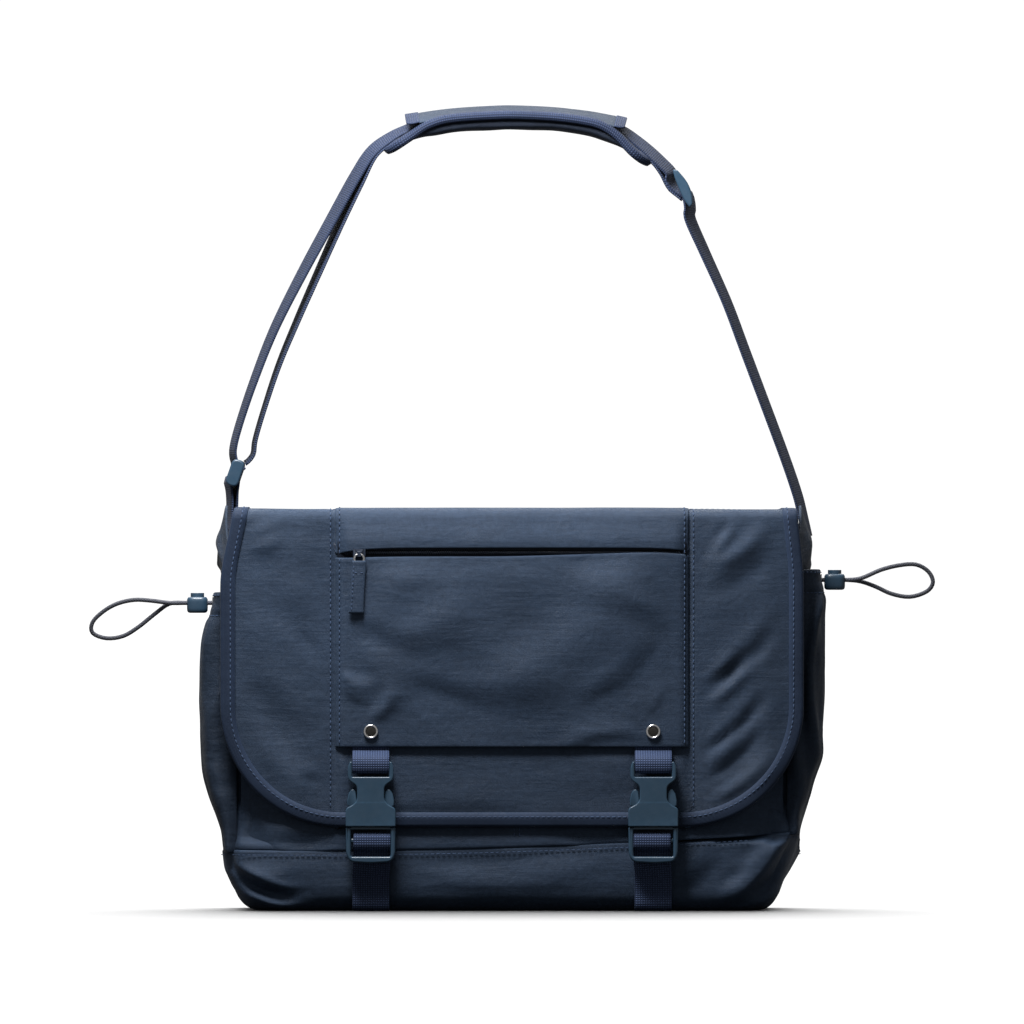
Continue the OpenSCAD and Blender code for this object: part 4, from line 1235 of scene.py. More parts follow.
def make_zip():
    """Zip tape with its coil, in the slit under the hood."""
    y0 = low("zip_tape", 1)
    z0, z1 = span("zip_tape", 2)
    x = np.linspace(-PANEL_HALF + 2, PANEL_HALF - 2, 60)
    rows = []
    for k in np.linspace(0, 1, 7):
        y, z = y0 - 0.3 * math.sin(k * math.pi), z0 + (z1 - z0) * k
        rows.append(np.stack([x, np.full_like(x, y), np.full_like(x, z)], -1))
    tape = grid("zip_cloth", np.array(rows))
    paint(tape, ZIP_TAPE)
    thicken(tape, 0.7)
    place(tape, "flap_front", "webbing", "zip_tape")
    coils = []
    for k, side in enumerate((-1, 1)):
        turns = 150
        a = np.linspace(0, 2 * math.pi * turns, turns * 7)
        cx = np.linspace(-PANEL_HALF + 6, PANEL_HALF - 6, len(a))
        cz = middle("zip_slider", 2) + side * 1.2
        path = np.stack([cx, y0 - 1.0 + 0.6 * np.cos(a), cz + 0.9 * np.sin(a)], -1)
        coils.append(sweep("coil_%d" % k, path, UP, circle(0.275, 8)))
    coil = joined("zip_coil_pair", coils)
    paint(coil, ZIP_COIL)
    place(coil, "flap_front", "plastic")


make_zip()


def rear_line():
    """The flap's fixed back, from its lower edge up the back of the bag and forward over the top."""
    return smooth([(BACK_Y + 3.4, 222), (BACK_Y + 4.2, 232), (BACK_Y + 3.6, 243), (BACK_Y - 0.6, 251.5),
                   (BACK_Y - 11, 256.6), (BACK_Y - 28, 259.4), (FOLD_Y + 8, 260.4), (FOLD_Y - 8, 260.9),
                   (SEAM_Y - 5, 260.2)], 8)


def rear_skin():
    """Rows of points on the flap's fixed back, and the outward normal of each row."""
    line = rear_line()
    t = tangents(line)
    out = np.stack([t[:, 1], -t[:, 0]], -1)
    rows = []
    for (y, z), (oy, oz) in zip(line, out):
        forward = 1 - ease(y, FOLD_Y - 9, FOLD_Y + 7)
        x = np.linspace(-REAR_HALF - (FLAP_HALF - REAR_HALF - 9.4) * forward,
                        REAR_HALF + (FLAP_HALF - REAR_HALF - 4.9) * forward, 90)
        half = np.abs(x).max()
        p = np.stack([x, np.full_like(x, y), np.full_like(x, z)], -1)
        d = 0.9 * random_field(p, (80, 50, 60), 71) - 0.4
        d = d - 1.4 * np.exp(-((y - FOLD_Y) / 9) ** 2) * (np.abs(x) / half) ** 2
        d = d * (ease(y, SEAM_Y, SEAM_Y + 16))
        rows.append(p + np.stack([0 * x, oy * d, oz * d], -1))
    return np.array(rows), in_plane_yz(out, 0)


def fold_over(obj):
    """Bakes a piece's transform into its mesh; it lies at the flap's rear fold, where its fixed back meets
    its top.
    """
    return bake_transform(obj)


def make_flap_rear():
    rows, n = rear_skin()
    rear = grid("flap_rear", rows, flip=True)
    paint(rear, NYLON, LINING, NYLON)
    thicken(rear, 2.2, 1)
    fold_over(rear)
    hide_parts("flap_back", "flap_top")
    pieces = []
    for sx, c in ((-1, 0), (1, -1)):
        edge, inward = rows[:, c], (-sx * 1.0, 0.0, 0.0)
        pieces.append(fold_round(edge, n, inward, 8.8, "rear_edge_%d" % c, BINDING, 0.2, 0.7))
    tapes = joined("rear_edge_tape", pieces)
    paint(tapes, BINDING)
    fold_over(tapes)
    runs = []
    for k in (3, 11):
        q = rows[k] + n[k] * 0.1
        runs.append((q[3:-3], np.broadcast_to(n[k], q[3:-3].shape)))
    thread = stitches("rear_stitches", runs)
    fold_over(thread)


make_flap_rear()


# ---------- buckle webbings ----------

LOWER_ROUTE = [(32, 0.8), (12, 0.8), (1.5, 1.0), (-1.7, 3.8), (-2.2, 12), (-4.4, 21)]
LOWER_CLIP = [(4.6, 30), (4.4, 38), (1.2, 40.6), (-2, 42), (-2.6, 45.5), (-2.1, 49), (0.6, 50.6), (3.6, 49.8),
              (4.5, 45), (5, 41)]
UPPER_CLIP = [(-0.8, 100.4), (-3, 97), (-3.1, 93), (-2.4, 91), (0, 90), (2.4, 91), (3.1, 93), (3, 97.5)]


def make_buckle_webbing():
    section = band_section(24, 1.4)
    across = np.array([1.0, 0.0, 0.0])
    for side, x in (("left", -BUCKLE_X), ("right", BUCKLE_X)):
        route = [(POCKET_Y + y, z) for y, z in LOWER_ROUTE] + [(BUCKLE_Y + y, z) for y, z in LOWER_CLIP]
        path = in_plane_yz(smooth(route, 8), x)
        path[:, 0] += 0.8 * ease(path[:, 2], 20, 36) * (1 if side == "left" else -1)
        band = sweep("lower_strap_" + side, path, across, section)
        paint(band, WEBBING_LIGHTENED)
        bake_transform(band)
        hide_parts("lower_webbing_" + side)
    bands = []
    for x in (-BUCKLE_X, BUCKLE_X):
        route = [(SHELL_Y - 0.9, 112), (SHELL_Y - 0.95, 107), (SHELL_Y - 1.9, 103.8)]
        route += [(BUCKLE_Y + y, z) for y, z in UPPER_CLIP]
        bands.append(sweep("upper_%d" % x, in_plane_yz(smooth(route, 8), x), across, section))
    upper = joined("upper_straps", bands)
    paint(upper, WEBBING_LIGHTENED)
    place(upper, "flap_front", "webbing", "upper_webbing")


make_buckle_webbing()


# ---------- shoulder strap ----------

RIGHT_ROUTE = [(187, 268.3), (183.3, 280), (176.6, 299), (164.3, 332), (152.3, 364), (140.3, 396),
               (125.6, 429), (116.4, 450)]
CROWN_ROUTE = [(104.2, 480), (96.5, 488), (90, 494), (81.5, 501.2), (73, 507.6), (62, 512.8), (50, 516.2),
               (30, 519), (5, 520.3), (-10.7, 520.2), (-38, 518.4), (-56, 514.8), (-68, 509.5),
               (-79, 503.8), (-91.6, 494.2)]
LEFT_ROUTE = [(-102, 478.5), (-117.8, 450), (-137.4, 414), (-155.4, 378), (-168.8, 344), (-178.5, 315),
              (-182.3, 299)]
INNER_ROUTE = [(-99.6, 474), (-112, 448), (-127.6, 413), (-140.3, 384), (-152.3, 355), (-162, 326),
               (-167.8, 306), (-169, 297)]
COVER_ROUTE = [(-74, 514.4), (-69.9, 515.5), (-50, 519), (-30, 521), (-10.7, 521.8), (5, 521.9), (30, 520.7),
               (50, 518.3), (66, 515.3), (74.4, 513), (78, 512)]
TRIGLIDE = (111.4, 470.0)
TRIGLIDE_LEAN = 23.0
RING_TOP = (-178.2, 290.0)
RING_BOTTOM = (-183.0, 278.4)
LOOP_R = 2.9
PAD_TILT = 6.5


def at_triglide(u, v):
    """A point u across and v along the strap's slider, in x and z."""
    c, s = math.cos(math.radians(TRIGLIDE_LEAN)), math.sin(math.radians(TRIGLIDE_LEAN))
    return (TRIGLIDE[0] + u * c - v * s, TRIGLIDE[1] + u * s + v * c)


def loop_around(centre, a0, a1):
    """The strap's turn round a bar, between two angles in degrees."""
    a = np.radians(np.linspace(a0, a1, 12))
    return [(centre[0] + LOOP_R * math.cos(t), centre[1] + LOOP_R * math.sin(t)) for t in a]


def tilt_at(x, z):
    """How far the strap's face turns towards the front, in degrees: most at the pad."""
    side = np.where(np.asarray(x) < 0, 6.5 + 4.5 * ease(z, 300, 480), 9.0 + 2.0 * ease(z, 400, 480))
    return PAD_TILT + (side - PAD_TILT) * ease(np.abs(x), 58, 92)


def band_across(path, tilt):
    """The strap's width direction: level, turned by the tilt so that its back edge is higher."""
    t = tangents(path)
    n = np.cross(t, ALONG_Y)
    n = n * np.sign(n[:, 2:3] * 0.5 + n[:, :1] * np.sign(path[:, :1]) + 1e-9)
    a = np.radians(tilt)[:, None]
    return np.cos(a) * ALONG_Y + np.sin(a) * n


def strap_band(name, route, n, thick=1.6, extra=0.0):
    """A length of strap along a route in x and z, turned a little towards the front."""
    path = in_plane_xz(smooth(route, n), STRAP_Y)
    path = respaced(path, 2.5)
    tilt = tilt_at(path[:, 0], path[:, 2]) + extra
    band = sweep(name, path, band_across(path, tilt), band_section(STRAP_W, thick))
    paint(band, STRAP_TAPE_DARKENED)
    return band


def hang(obj):
    """Bakes a strap band's transform into its mesh."""
    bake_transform(obj)


def make_strap():
    through = [at_triglide(*p) for p in ((-0.6, -14), (1.0, -8), (1.0, -4), (-2, 0), (-4.4, 4.5), (-4.8, 9))]
    start = [(193, 242.5), (191.8, 248), (190.2, 255), (188.6, 262)]
    route = start + RIGHT_ROUTE + through + CROWN_ROUTE + LEFT_ROUTE + loop_around(RING_TOP, 170, 340)
    outer = strap_band("strap_outer", route, 8)
    hang(outer)
    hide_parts("shoulder_webbing")
    crown = np.array(CROWN_ROUTE, float)
    t = tangents(crown)
    under = crown + 2.2 * np.stack([-t[:, 1], t[:, 0]], -1)
    route = [(RING_TOP[0] + LOOP_R + 0.8, RING_TOP[1] + 0.6), (-172, 292.5)] + INNER_ROUTE[::-1]
    route += [tuple(p) for p in under[::-1][:-1]]
    route += [at_triglide(*p) for p in ((-7.0, 13), (-6.8, 8), (-6.0, 3), (-3.6, -1.5), (-1.2, -6))]
    inner = strap_band("strap_doubled", route, 8, extra=-2.5)
    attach(inner, "strap")
    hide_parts("doubled_webbing")
    x = -183.6
    route = [(x - 6.4, 238.5), (x - 4.2, 243), (x - 1.6, 250), (x - 0.6, 262), (x - 1.0, 272)]
    route += loop_around(RING_BOTTOM, 195, -15)
    route += [(x + 2.6, 272), (x + 2.2, 262), (x + 1.0, 252), (x - 0.6, 243)]
    tab = strap_band("ring_loop", route, 6, 1.5)
    hang(tab)
    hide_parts("ring_tab", "anchor_webbing")


make_strap()


def pad_frame(path):
    """Width direction and outward normal of the pad at each point."""
    a = band_across(path, tilt_at(path[:, 0], path[:, 2]))
    n = np.cross(a, tangents(path))
    return a, n * np.sign(n[:, 2:3])


def pad_line(route, x0, x1, step=2.5):
    """The part of a route between two values of x, as evenly spaced points."""
    path = respaced(in_plane_xz(smooth(route, 8), STRAP_Y), step)
    return path[(path[:, 0] > x0) & (path[:, 0] < x1)]


PAD_END = 15.0
PAD_CROWN = 2.6
PAD_SPAN = (-87.5, 95.5)


def pad_half(d, half):
    """Half the pad's width at distance d from its nearer end, which is rounded."""
    k = np.clip(PAD_END - d, 0, PAD_END)
    return half - PAD_END + np.sqrt(PAD_END ** 2 - k ** 2)


def make_pad():
    half = extent("pad_binding", 1) / 2
    path = pad_line(CROWN_ROUTE[::-1], *PAD_SPAN)
    a, n = pad_frame(path)
    at = lengths(path)
    d = np.minimum(at, at[-1] - at)
    full = ease(d, 0, 42)
    a_round = full_turn(44)
    w, h = squarer(np.cos(a_round), 0.35), squarer(np.sin(a_round), 0.8)
    rows = []
    for i in range(len(path)):
        width = pad_half(d[i], half) - 1.6
        deep = 2.4 + 6.4 * full[i]
        crown = np.where(h < 0, 1 + 0.3 * np.cos(w * math.pi / 2), 1)
        off = -0.9 - deep / 2 + deep / 2 * h * crown
        rows.append(path[i] + a[i] * (width * w)[:, None] + n[i] * off[:, None])
    rows = np.array(rows)
    rows += n[:, None] * (0.8 * random_field(rows, (22, 22, 200), 81) * (h < 0))[..., None]
    body = grid("pad_cushion", rows, wrap=True, flip=True, caps=True)
    paint(body, LINING)
    subdivide(body)
    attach(body, "strap")
    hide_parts("pad_foam", "pad_lining")
    make_pad_binding(path, a, n, half)
    make_pad_cover(half)
    make_pad_tabs(half)


def make_pad_binding(path, a, n, half):
    """Ribbed tape folded over the pad's edge, all the way round."""
    at = lengths(path)
    reach = at[-1]
    t = np.linspace(0, math.pi / 2, 12)
    bend = np.stack([PAD_END - PAD_END * np.cos(t), half - PAD_END + PAD_END * np.sin(t)], -1)
    run = np.stack([np.linspace(PAD_END, reach / 2, 24)[1:], np.full(23, half)], -1)
    side = np.vstack([[[0, 0.01]], bend, run])
    quarter2 = side[::-1] * [-1, 1] + [reach, 0]
    upper = np.vstack([side, quarter2[1:]])
    lower = upper[::-1] * [1, -1]
    ring = np.vstack([upper, lower[1:-1]])
    u, w = ring[:, 0], ring[:, 1]
    across = unit(at_distance(u, at, a))
    normal = unit(at_distance(u, at, n))
    p = at_distance(u, at, path) + across * w[:, None]
    lift = -2.4 + 3.1 * ease(np.minimum(u, reach - u), 12, 48)
    lift -= 1.5 * ease(p[:, 1], STRAP_Y + 2, STRAP_Y + 14)
    p += normal * lift[:, None]
    along = unit(np.roll(p, -1, axis=0) - np.roll(p, 1, axis=0))
    inward = unit(np.cross(normal, along))
    middle_point = path.mean(0)
    inward *= np.sign(((middle_point - p) * inward).sum(-1, keepdims=True))
    tape = fold_round(p, normal, inward, 8, "pad_edge_tape", STRAP_TAPE_DARKENED, 0.9, 1.3, closed=True)
    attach(tape, "strap")
    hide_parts("pad_binding")


def make_pad_cover(half):
    """The sleeve over the webbing."""
    path = pad_line(COVER_ROUTE, -62, 69)
    a, n = pad_frame(path)
    w = np.linspace(-1, 1, 30)
    crown = PAD_CROWN * (1 - np.abs(w) ** 3)
    rows = path[:, None] + a[:, None] * (w * (half - 1.8))[None, :, None]
    rows = rows + n[:, None] * (crown - 2.2)[None, :, None]
    rows = rows + n[:, None] * (0.5 * random_field(rows, (34, 26, 200), 83) * (1 - np.abs(w) ** 4))[..., None]
    cover = grid("pad_top", rows)
    paint(cover, NYLON_SHADED_SOFT)
    thicken(cover, 0.9)
    subdivide(cover)
    place(cover, "strap", "shell", "pad_cover")
    runs = [(rows[1:-1, k] - n[1:-1] * 0.15, n[1:-1]) for k in (3, -4)]
    for i in (1, -2):
        runs.append((rows[i] - n[i] * 0.15, np.broadcast_to(n[i], rows[i].shape)))
    place(stitches("pad_stitches", runs, pitch=3.2, length=2.2), "strap", "shell")


def make_pad_tabs(half):
    """A ribbed tab over each end of the pad."""
    w = np.linspace(-1, 1, 30)
    tabs = []
    for x0, x1 in ((-70.2, -60.5), (67.5, 74.8)):
        path = pad_line(COVER_ROUTE, x0, x1, 0.9)
        a, n = pad_frame(path)
        tip = np.abs(path[:, 0] - (x0 if x0 < 0 else x1))
        width = half - 8.2 + np.sqrt(36 - np.clip(6 - tip, 0, 6) ** 2)
        over = PAD_CROWN * (1 - np.abs(w * width[:, None] / (half - 1.8)) ** 3) - 2.0
        rows = path[:, None] + a[:, None] * (w * width[:, None])[..., None] + n[:, None] * over[..., None]
        tabs.append(grid("tab", rows))
    tab = joined("pad_end_tabs", tabs)
    paint(tab, STRAP_TAPE_DARKENED)
    thicken(tab, 1.3)
    subdivide(tab)
    place(tab, "strap", "webbing")


make_pad()


# ---------- hard pieces ----------

def softened(node, body, material, slot, radius=0.5, angle=35):
    """A copy of a hard CAD node with its sharp edges rounded, in that node's place."""
    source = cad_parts[node]
    obj = added(node + "_moulded", source.data.copy())
    bm = bmesh.new()
    bm.from_mesh(obj.data)
    bmesh.ops.remove_doubles(bm, verts=bm.verts, dist=1e-6)
    bmesh.ops.dissolve_limit(bm, angle_limit=math.radians(2), verts=bm.verts, edges=bm.edges)
    bm.to_mesh(obj.data)
    bm.free()
    obj.data.shade_smooth()
    m = obj.modifiers.new("rounded", "BEVEL")
    m.width = radius * MM
    m.segments = 3
    m.limit_method = "ANGLE"
    m.angle_limit = math.radians(angle)
    m.harden_normals = True
    m.use_clamp_overlap = True
    paint(obj, material)
    return place(obj, body, slot, node)


def rounded_outline(half):
    """A symmetric outline in x and z from its right half: corners, and how far each is rounded."""
    return corners_rounded(half + [(-x, z, r) for x, z, r in half[::-1] if x > 0])


def corners_rounded(corners):
    """A closed outline through corners, each given as (x, z, how far its rounding reaches)."""
    out = []
    for k, (x, z, r) in enumerate(corners):
        here = np.array([x, z], float)
        before = np.array(corners[k - 1][:2], float)
        after = np.array(corners[(k + 1) % len(corners)][:2], float)
        a = here + unit(before - here) * min(r, 0.48 * np.linalg.norm(before - here))
        b = here + unit(after - here) * min(r, 0.48 * np.linalg.norm(after - here))
        out += [(1 - t) ** 2 * a + 2 * t * (1 - t) * here + t * t * b for t in np.linspace(0, 1, 7)]
    return out


def plate(outlines, cx, y0, y1, edge):
    """A flat moulded plate facing the front, with its edges rounded. Later outlines are holes."""
    curve = bpy.data.curves.new("plate", "CURVE")
    curve.dimensions = "2D"
    curve.fill_mode = "BOTH"
    curve.extrude = ((y1 - y0) / 2 - edge) * MM
    curve.bevel_depth = edge * MM
    curve.bevel_resolution = 3
    curve.offset = -edge * MM
    for outline in outlines:
        spline = curve.splines.new("POLY")
        spline.points.add(len(outline) - 1)
        for point, (x, z) in zip(spline.points, outline):
            point.co = ((cx + x) * MM, z * MM, 0, 1)
        spline.use_cyclic_u = True
    holder = added("plate", curve)
    mesh = bpy.data.meshes.new_from_object(holder.evaluated_get(bpy.context.evaluated_depsgraph_get()))
    mesh.transform(Matrix.Translation((0, (y0 + y1) / 2 * MM, 0)) @ Matrix.Rotation(math.pi / 2, 4, "X"))
    bpy.data.objects.remove(holder)
    return added("plate", mesh)


def box_outline(half, z0, z1, r=0.8):
    """A rounded box about x = 0."""
    return rounded_outline([(half, z0, r), (half, z1, r)])


SOCKET_SHOULDER = [(16.2, 55.0, 0.9), (16.2, 66.9, 2.2), (11.2, 69.3, 2.2), (8.8, 72.3, 2.2)]
SOCKET_LOOP = [(8.8, 81.4, 2.6), (14.8, 85.4, 2.8), (14.8, 93.5, 2.0), (13.5, 97.0, 0.8), (12.3, 97.0, 0.6),
               (12.3, 87.2, 0.8)]


def cheeks(outline, cx, node, deep, edge):
    """Two matching plates, at the front and the back of a CAD node."""
    y0, y1 = span(node, 1)
    return [plate([outline], cx, y0, y0 + deep, edge), plate([outline], cx, y1 - deep, y1, edge)]


def make_socket(side, cx):
    """The catch half of a clip: two plates round a hollow, and a loop with a bar for its webbing."""
    face = rounded_outline(SOCKET_SHOULDER + SOCKET_LOOP)
    y0, y1 = span("buckle_socket_" + side, 1)
    parts = cheeks(face, cx, "buckle_socket_" + side, 1.7, 0.75)
    loop = [(x - 0.35, z, r) for x, z, r in SOCKET_LOOP]
    parts.append(plate([rounded_outline([(8.4, 80.2, 0.5)] + loop)], cx, y0 + 1.2, y1 - 1.2, 0.2))
    parts.append(plate([box_outline(12.8, 92.4, 95.8, 1.5)], cx, y0 + 2.5, y1 - 2.5, 1.2))
    for sign in (-1, 1):
        parts.append(plate([box_outline(1.25, 55.4, 66.4)], cx + sign * 14.7, y0 + 1.2, y1 - 1.2, 0.2))
    finish_plastic(joined("clip_socket_" + side, parts), "flap_front", "buckle_socket_" + side)


def make_insert(side, cx):
    """The catch's other half: a ladder frame for the lower webbing and a root for its two prongs."""
    y0, y1 = span("buckle_insert_" + side, 1)
    rim = rounded_outline([(0, 31.2, 4), (13.2, 32.0, 3.2), (15.9, 36.6, 3.0), (16.1, 54.4, 0.8)])
    parts = [plate([rim, box_outline(12.9, 35.6, 53.2, 1.2)], cx, y0, y1, 1.1),
             plate([box_outline(13.2, 44.3, 47.3, 1.2)], cx, y0 + 1.8, y1 - 1.2, 1.1),
             plate([box_outline(3.4, 53.4, 74, 1.6)], cx, y0 + 0.7, y1 - 0.7, 0.6),
             plate([box_outline(12.6, 53.4, 54.9, 0.5)], cx, y0 + 0.7, y1 - 0.7, 0.4)]
    finish_plastic(joined("clip_insert_" + side, parts), "insert_" + side, "buckle_insert_" + side)


def finish_plastic(obj, body, node):
    """Gives a moulded piece its sharp edges, its look and its place."""
    obj.data.set_sharp_from_angle(angle=math.radians(50))
    paint(obj, PLASTIC)
    place(obj, body, "plastic", node)


def lathe(name, profile, cx, cz):
    """A round piece facing the front, from distances out from its axis and y."""
    rows = [in_plane_xz(circle(r, 40) + (cx, cz), y) for r, y in profile]
    return grid(name, np.array(rows), wrap=True, flip=True, caps=profile[0][0] < 1)


LENS = [(-1.4, 13.6, 1.2), (-2.5, 8, 5), (-2.5, -8, 5), (-0.9, -13.6, 1.2), (1.9, -12.6, 1.4), (4.3, -5, 5),
        (4.3, 3, 5), (1.2, 12.4, 2)]


def leaning(outline, centre, degrees):
    """An outline turned anticlockwise and moved to its place."""
    c, s = math.cos(math.radians(degrees)), math.sin(math.radians(degrees))
    return [(centre[0] + x * c - z * s, centre[1] + x * s + z * c) for x, z in outline]


def rod(x, z, r, y0, y1):
    """A round bar running from front to back."""
    outline = [(x + r * math.cos(t), z + r * math.sin(t)) for t in np.linspace(0, 6.0, 20)]
    return plate([outline], 0, y0, y1, 0.2)


LOCK_PROFILE = [(0.2, -1), (0.72, -1), (0.9, -0.92), (0.985, -0.72), (1, -0.4), (1, 0.4), (0.985, 0.72),
                (0.9, 0.92), (0.8, 1)]


def make_lock(side):
    """A cord lock's body: a rounded block with a bore for its plunger."""
    node = "cord_lock_" + side
    centre = [middle(node, k) for k in range(3)]
    size = [extent(node, k) / 2 for k in range(3)]
    bore = extent("plunger_" + side, 1) / 2 + 0.15
    a = full_turn(40)
    block = [squarer(v, 0.6) for v in (np.cos(a), np.sin(a))]
    rows = [np.stack([centre[0] + size[0] * k * block[0], centre[1] + size[1] * k * block[1],
                      np.full(40, centre[2] + size[2] * z)], -1) for k, z in LOCK_PROFILE]
    for r, z in ((bore + 0.3, 1), (bore, 0.93), (bore, -0.7), (0.2, -0.7)):
        height = np.full(40, centre[2] + size[2] * z)
        rows.append(np.stack([centre[0] + r * np.cos(a), centre[1] + r * np.sin(a), height], -1))
    obj = grid(node + "_moulded", np.array(rows), wrap=True, caps=True)
    paint(obj, PLASTIC)
    return place(obj, "lock_" + side, "plastic", node)


def make_spring(side):
    """A cord lock's spring, as a rounded copy of its CAD node with a mesh of its own."""
    node = "lock_spring_" + side
    spring = softened(node, "lock_" + side, STEEL, "steel", 0.02, 80)
    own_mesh(spring)
    return spring


def make_fitting(name, node, outline, bars):
    """Shaped cheeks joined by round bars, each given as (x, z, radius)."""
    y0, y1 = span(node, 1)
    parts = cheeks(outline, 0, node, 3.0, 1.2) + [rod(*bar, y0 + 2, y1 - 2) for bar in bars]
    finish_plastic(joined(name, parts), "strap", node)


def make_strap_hardware():
    """The slider and the ring that the strap runs through."""
    lens = leaning(corners_rounded(LENS), TRIGLIDE, TRIGLIDE_LEAN)
    make_fitting("strap_slider", "triglide", lens, [(*at_triglide(0, v), 1.6) for v in (-11, 0, 11)])
    middle_x, middle_z = (RING_TOP[0] + RING_BOTTOM[0]) / 2, (RING_TOP[1] + RING_BOTTOM[1]) / 2
    oval = leaning(rounded_outline([(4.3, -8.9, 4.2), (4.3, 8.9, 4.2)]), (middle_x, middle_z), -19)
    make_fitting("strap_link", "strap_ring", oval, [(*centre, 1.9) for centre in (RING_TOP, RING_BOTTOM)])


SNAP_RIM = [(3.2, 0.9), (3.5, 0.3), (4.0, 0), (4.45, 0.2), (4.75, 0.8), (4.75, 1.6), (3.2, 1.6)]
SNAP_FACE = [(0.2, 0.55), (1.4, 0.5), (2.8, 0.7), (3.4, 1.0), (3.4, 1.6), (0.2, 1.6)]


def make_snaps():
    """Press-stud caps on the flap: a bright rolled rim round a dark sunken middle."""
    y = low("snap_caps", 1)
    z = middle("snap_caps", 2)
    rims, caps = [], []
    r = SNAP_RIM[-2][0]
    for cx in (low("snap_caps", 0) + r, high("snap_caps", 0) - r):
        rims.append(lathe("rim", [(out, y + off) for out, off in SNAP_RIM], cx, z))
        caps.append(lathe("cap", [(out, y + off) for out, off in SNAP_FACE], cx, z))
    for obj, look, slot in ((joined("snap_rims", rims), STEEL, "steel"),
                            (joined("snap_faces", caps), GUNMETAL, "gunmetal")):
        paint(obj, look)
        place(obj, "flap_front", slot, "snap_caps")


def make_hardware():
    make_snaps()
    for side, cx in (("left", -BUCKLE_X), ("right", BUCKLE_X)):
        make_socket(side, cx)
        make_insert(side, cx)
        for arm in "ab":
            name = "prong_%s_%s" % (side, arm)
            softened(name, name, PLASTIC, "plastic", 0.6)
        lock = make_lock(side)
        button = softened("plunger_" + side, "plunger_" + side, PLASTIC, "plastic", 1.0)
        spring = make_spring(side)
    make_strap_hardware()
    # The zip slider takes the dark zip coil plastic rather than metal: painted shade for the slit under the
    # hood
    softened("zip_slider", "zip", ZIP_COIL, "gunmetal", 0.4)
    softened("snap_backs", "flap_front", STEEL, "steel", 0.2)
    softened("eyelets", "bag", STEEL, "steel", 0.1)
    softened("zip_pull_ring", "zip_pull", STEEL, "steel", 0.1, 60)


make_hardware()


TAB_LEAN = 1.9


def make_pull_tab():
    """The folded fabric tab on the zip pull, stitched along its edges."""
    (x0, x1), (y0, y1), (z0, z1) = [span("zip_pull_tab", axis) for axis in range(3)]
    cx, cy = (x0 + x1) / 2, (y0 + y1) / 2
    a = full_turn(20)
    rows = []
    for k in np.linspace(0, 1, 26):
        z = z0 + (z1 - z0) * k
        half = (x1 - x0) / 2 * (0.93 - 0.06 * math.sin(k * math.pi)) * (1 - 0.1 * ease(k, 0.85, 1.0))
        thick = (y1 - y0) * (0.34 + 0.1 * math.exp(-((k - 0.97) / 0.05) ** 2))
        x = cx - TAB_LEAN * (1 - k) + half * squarer(np.cos(a), 0.4)
        y = cy - 0.5 * math.sin(k * 2.6) + thick * squarer(np.sin(a), 0.7)
        rows.append(np.stack([x, y, np.full_like(x, z)], -1))
    tab = grid("pull_tab", np.array(rows), wrap=True, caps=True)
    paint(tab, NYLON)
    place(tab, "zip_pull", "shell", "zip_pull_tab")
    z = np.linspace(z0 + 1.5, z1 - 3, 24)
    k = (z - z0) / (z1 - z0)
    face = cy - 0.5 * np.sin(k * 2.6) - (y1 - y0) * 0.35
    edge = np.stack([cx - TAB_LEAN * (1 - k) - (x1 - x0) / 2 * 0.6, face, z], -1)
    xs = np.linspace(cx - 4.0, cx + 3.6, 8)
    cross = np.stack([xs, np.full_like(xs, face[-4]), np.full_like(xs, z1 - 8)], -1)
    runs = [(edge, -ALONG_Y), (cross, -ALONG_Y)]
    place(stitches("pull_stitches", runs, width=0.6, pitch=2.6, length=1.8), "zip_pull", "shell")


make_pull_tab()


# ---------- studio ----------

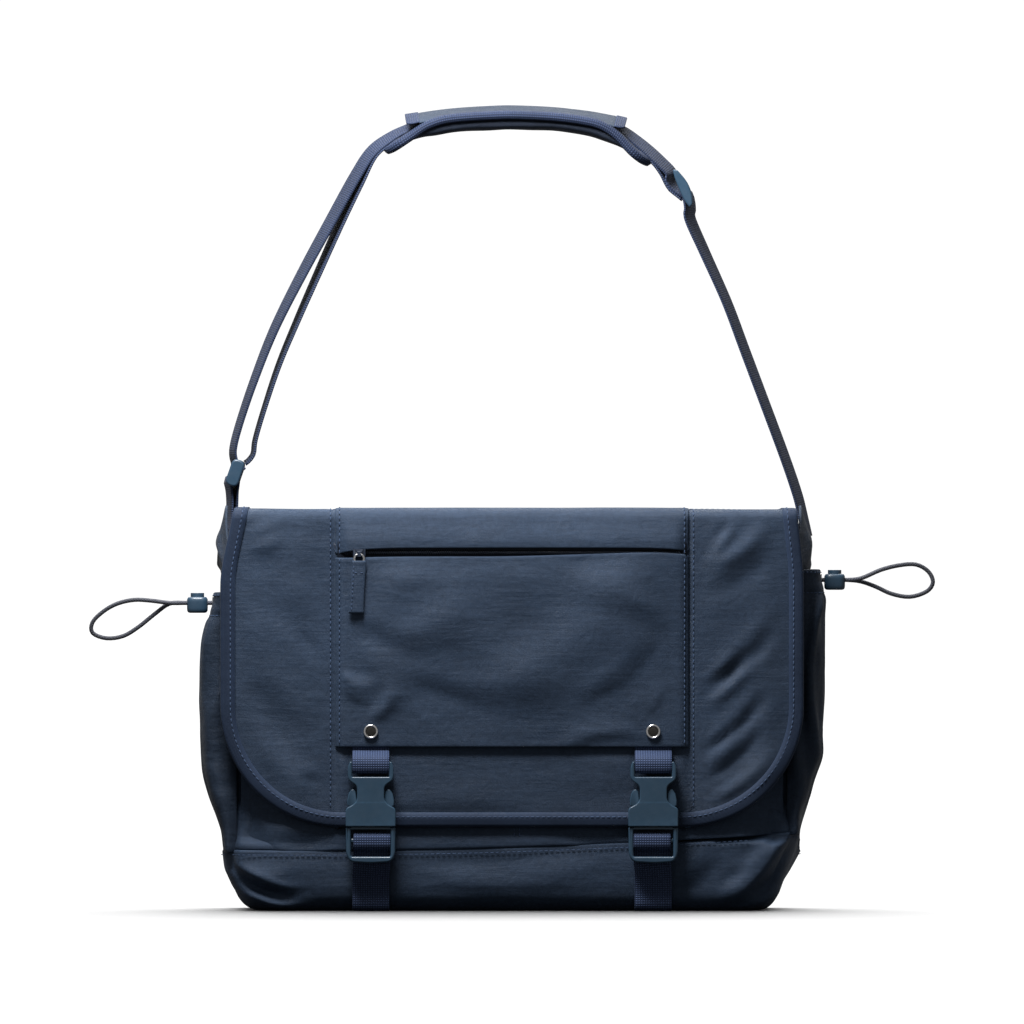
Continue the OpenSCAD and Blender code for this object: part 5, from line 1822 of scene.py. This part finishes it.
def make_floor():
    """A plain near-white floor, wide enough to run out of the picture."""
    side = np.linspace(-40, 40, 9)
    floor = grid("studio_floor", np.array([[(x, y, 0) for x in side] for y in side]) / MM)
    s = Shader("studio_paper")
    pale = s.ramp(s.noise(3, 2), [(0.3, (0.9, 0.9, 0.9, 1)), (0.7, (0.92, 0.92, 0.92, 1))])
    seen = s.add("ShaderNodeLightPath").outputs["Is Camera Ray"]
    tone = s.ramp(seen, [(0, (0.14, 0.14, 0.14, 1)), (1, (1, 1, 1, 1))])
    tone = s.mix_colour(1.0, tone, pale, "MULTIPLY")
    rough = s.range(s.noise(30, 2), 0.3, 0.7, 0.75, 0.85)
    paint(floor, s.finish(tone, rough, s.bump(s.noise(400, 2), 0.0001, 0.2)))


def lamp(name, kind, at, towards, energy, size):
    """A soft light: an area light size metres across, or a sun size degrees across."""
    data = bpy.data.lights.new(name, kind)
    data.energy = energy
    if kind == "AREA":
        data.size = size
    else:
        data.angle = math.radians(size)
    light = added(name, data)
    light.location = at
    light.rotation_euler = (Vector(towards) - Vector(at)).to_track_quat("-Z", "Y").to_euler()
    return light


def make_lights():
    """A broad overhead light, a nearer key from the upper left and a plain white surround."""
    lamp("overhead", "SUN", (0.0, 1.6, 3.0), (0, 0, 0), 3.5, 60)
    key = lamp("key", "AREA", (-0.2, -0.38, 0.98), (0, 0, 0.26), 24, 0.34)
    off_floor = bpy.data.collections.new("key_misses_floor")
    off_floor.objects.link(bpy.data.objects["studio_floor"])
    off_floor.collection_objects[0].light_linking.link_state = "EXCLUDE"
    key.light_linking.receiver_collection = off_floor
    world = bpy.data.worlds.new("studio")
    bpy.context.scene.world = world
    world.use_nodes = True
    nodes = world.node_tree.nodes
    sky = nodes["Background"]
    sky.inputs["Color"].default_value = (1, 1, 1, 1)
    sky.inputs["Strength"].default_value = 0.26
    surround = nodes.new("ShaderNodeBackground")
    surround.inputs["Color"].default_value = (1, 1, 1, 1)
    surround.inputs["Strength"].default_value = 1.05
    seen = nodes.new("ShaderNodeLightPath")
    mix = nodes.new("ShaderNodeMixShader")
    links = world.node_tree.links
    links.new(seen.outputs["Is Camera Ray"], mix.inputs["Fac"])
    links.new(sky.outputs[0], mix.inputs[1])
    links.new(surround.outputs[0], mix.inputs[2])
    links.new(mix.outputs[0], nodes["World Output"].inputs["Surface"])


make_floor()
make_lights()
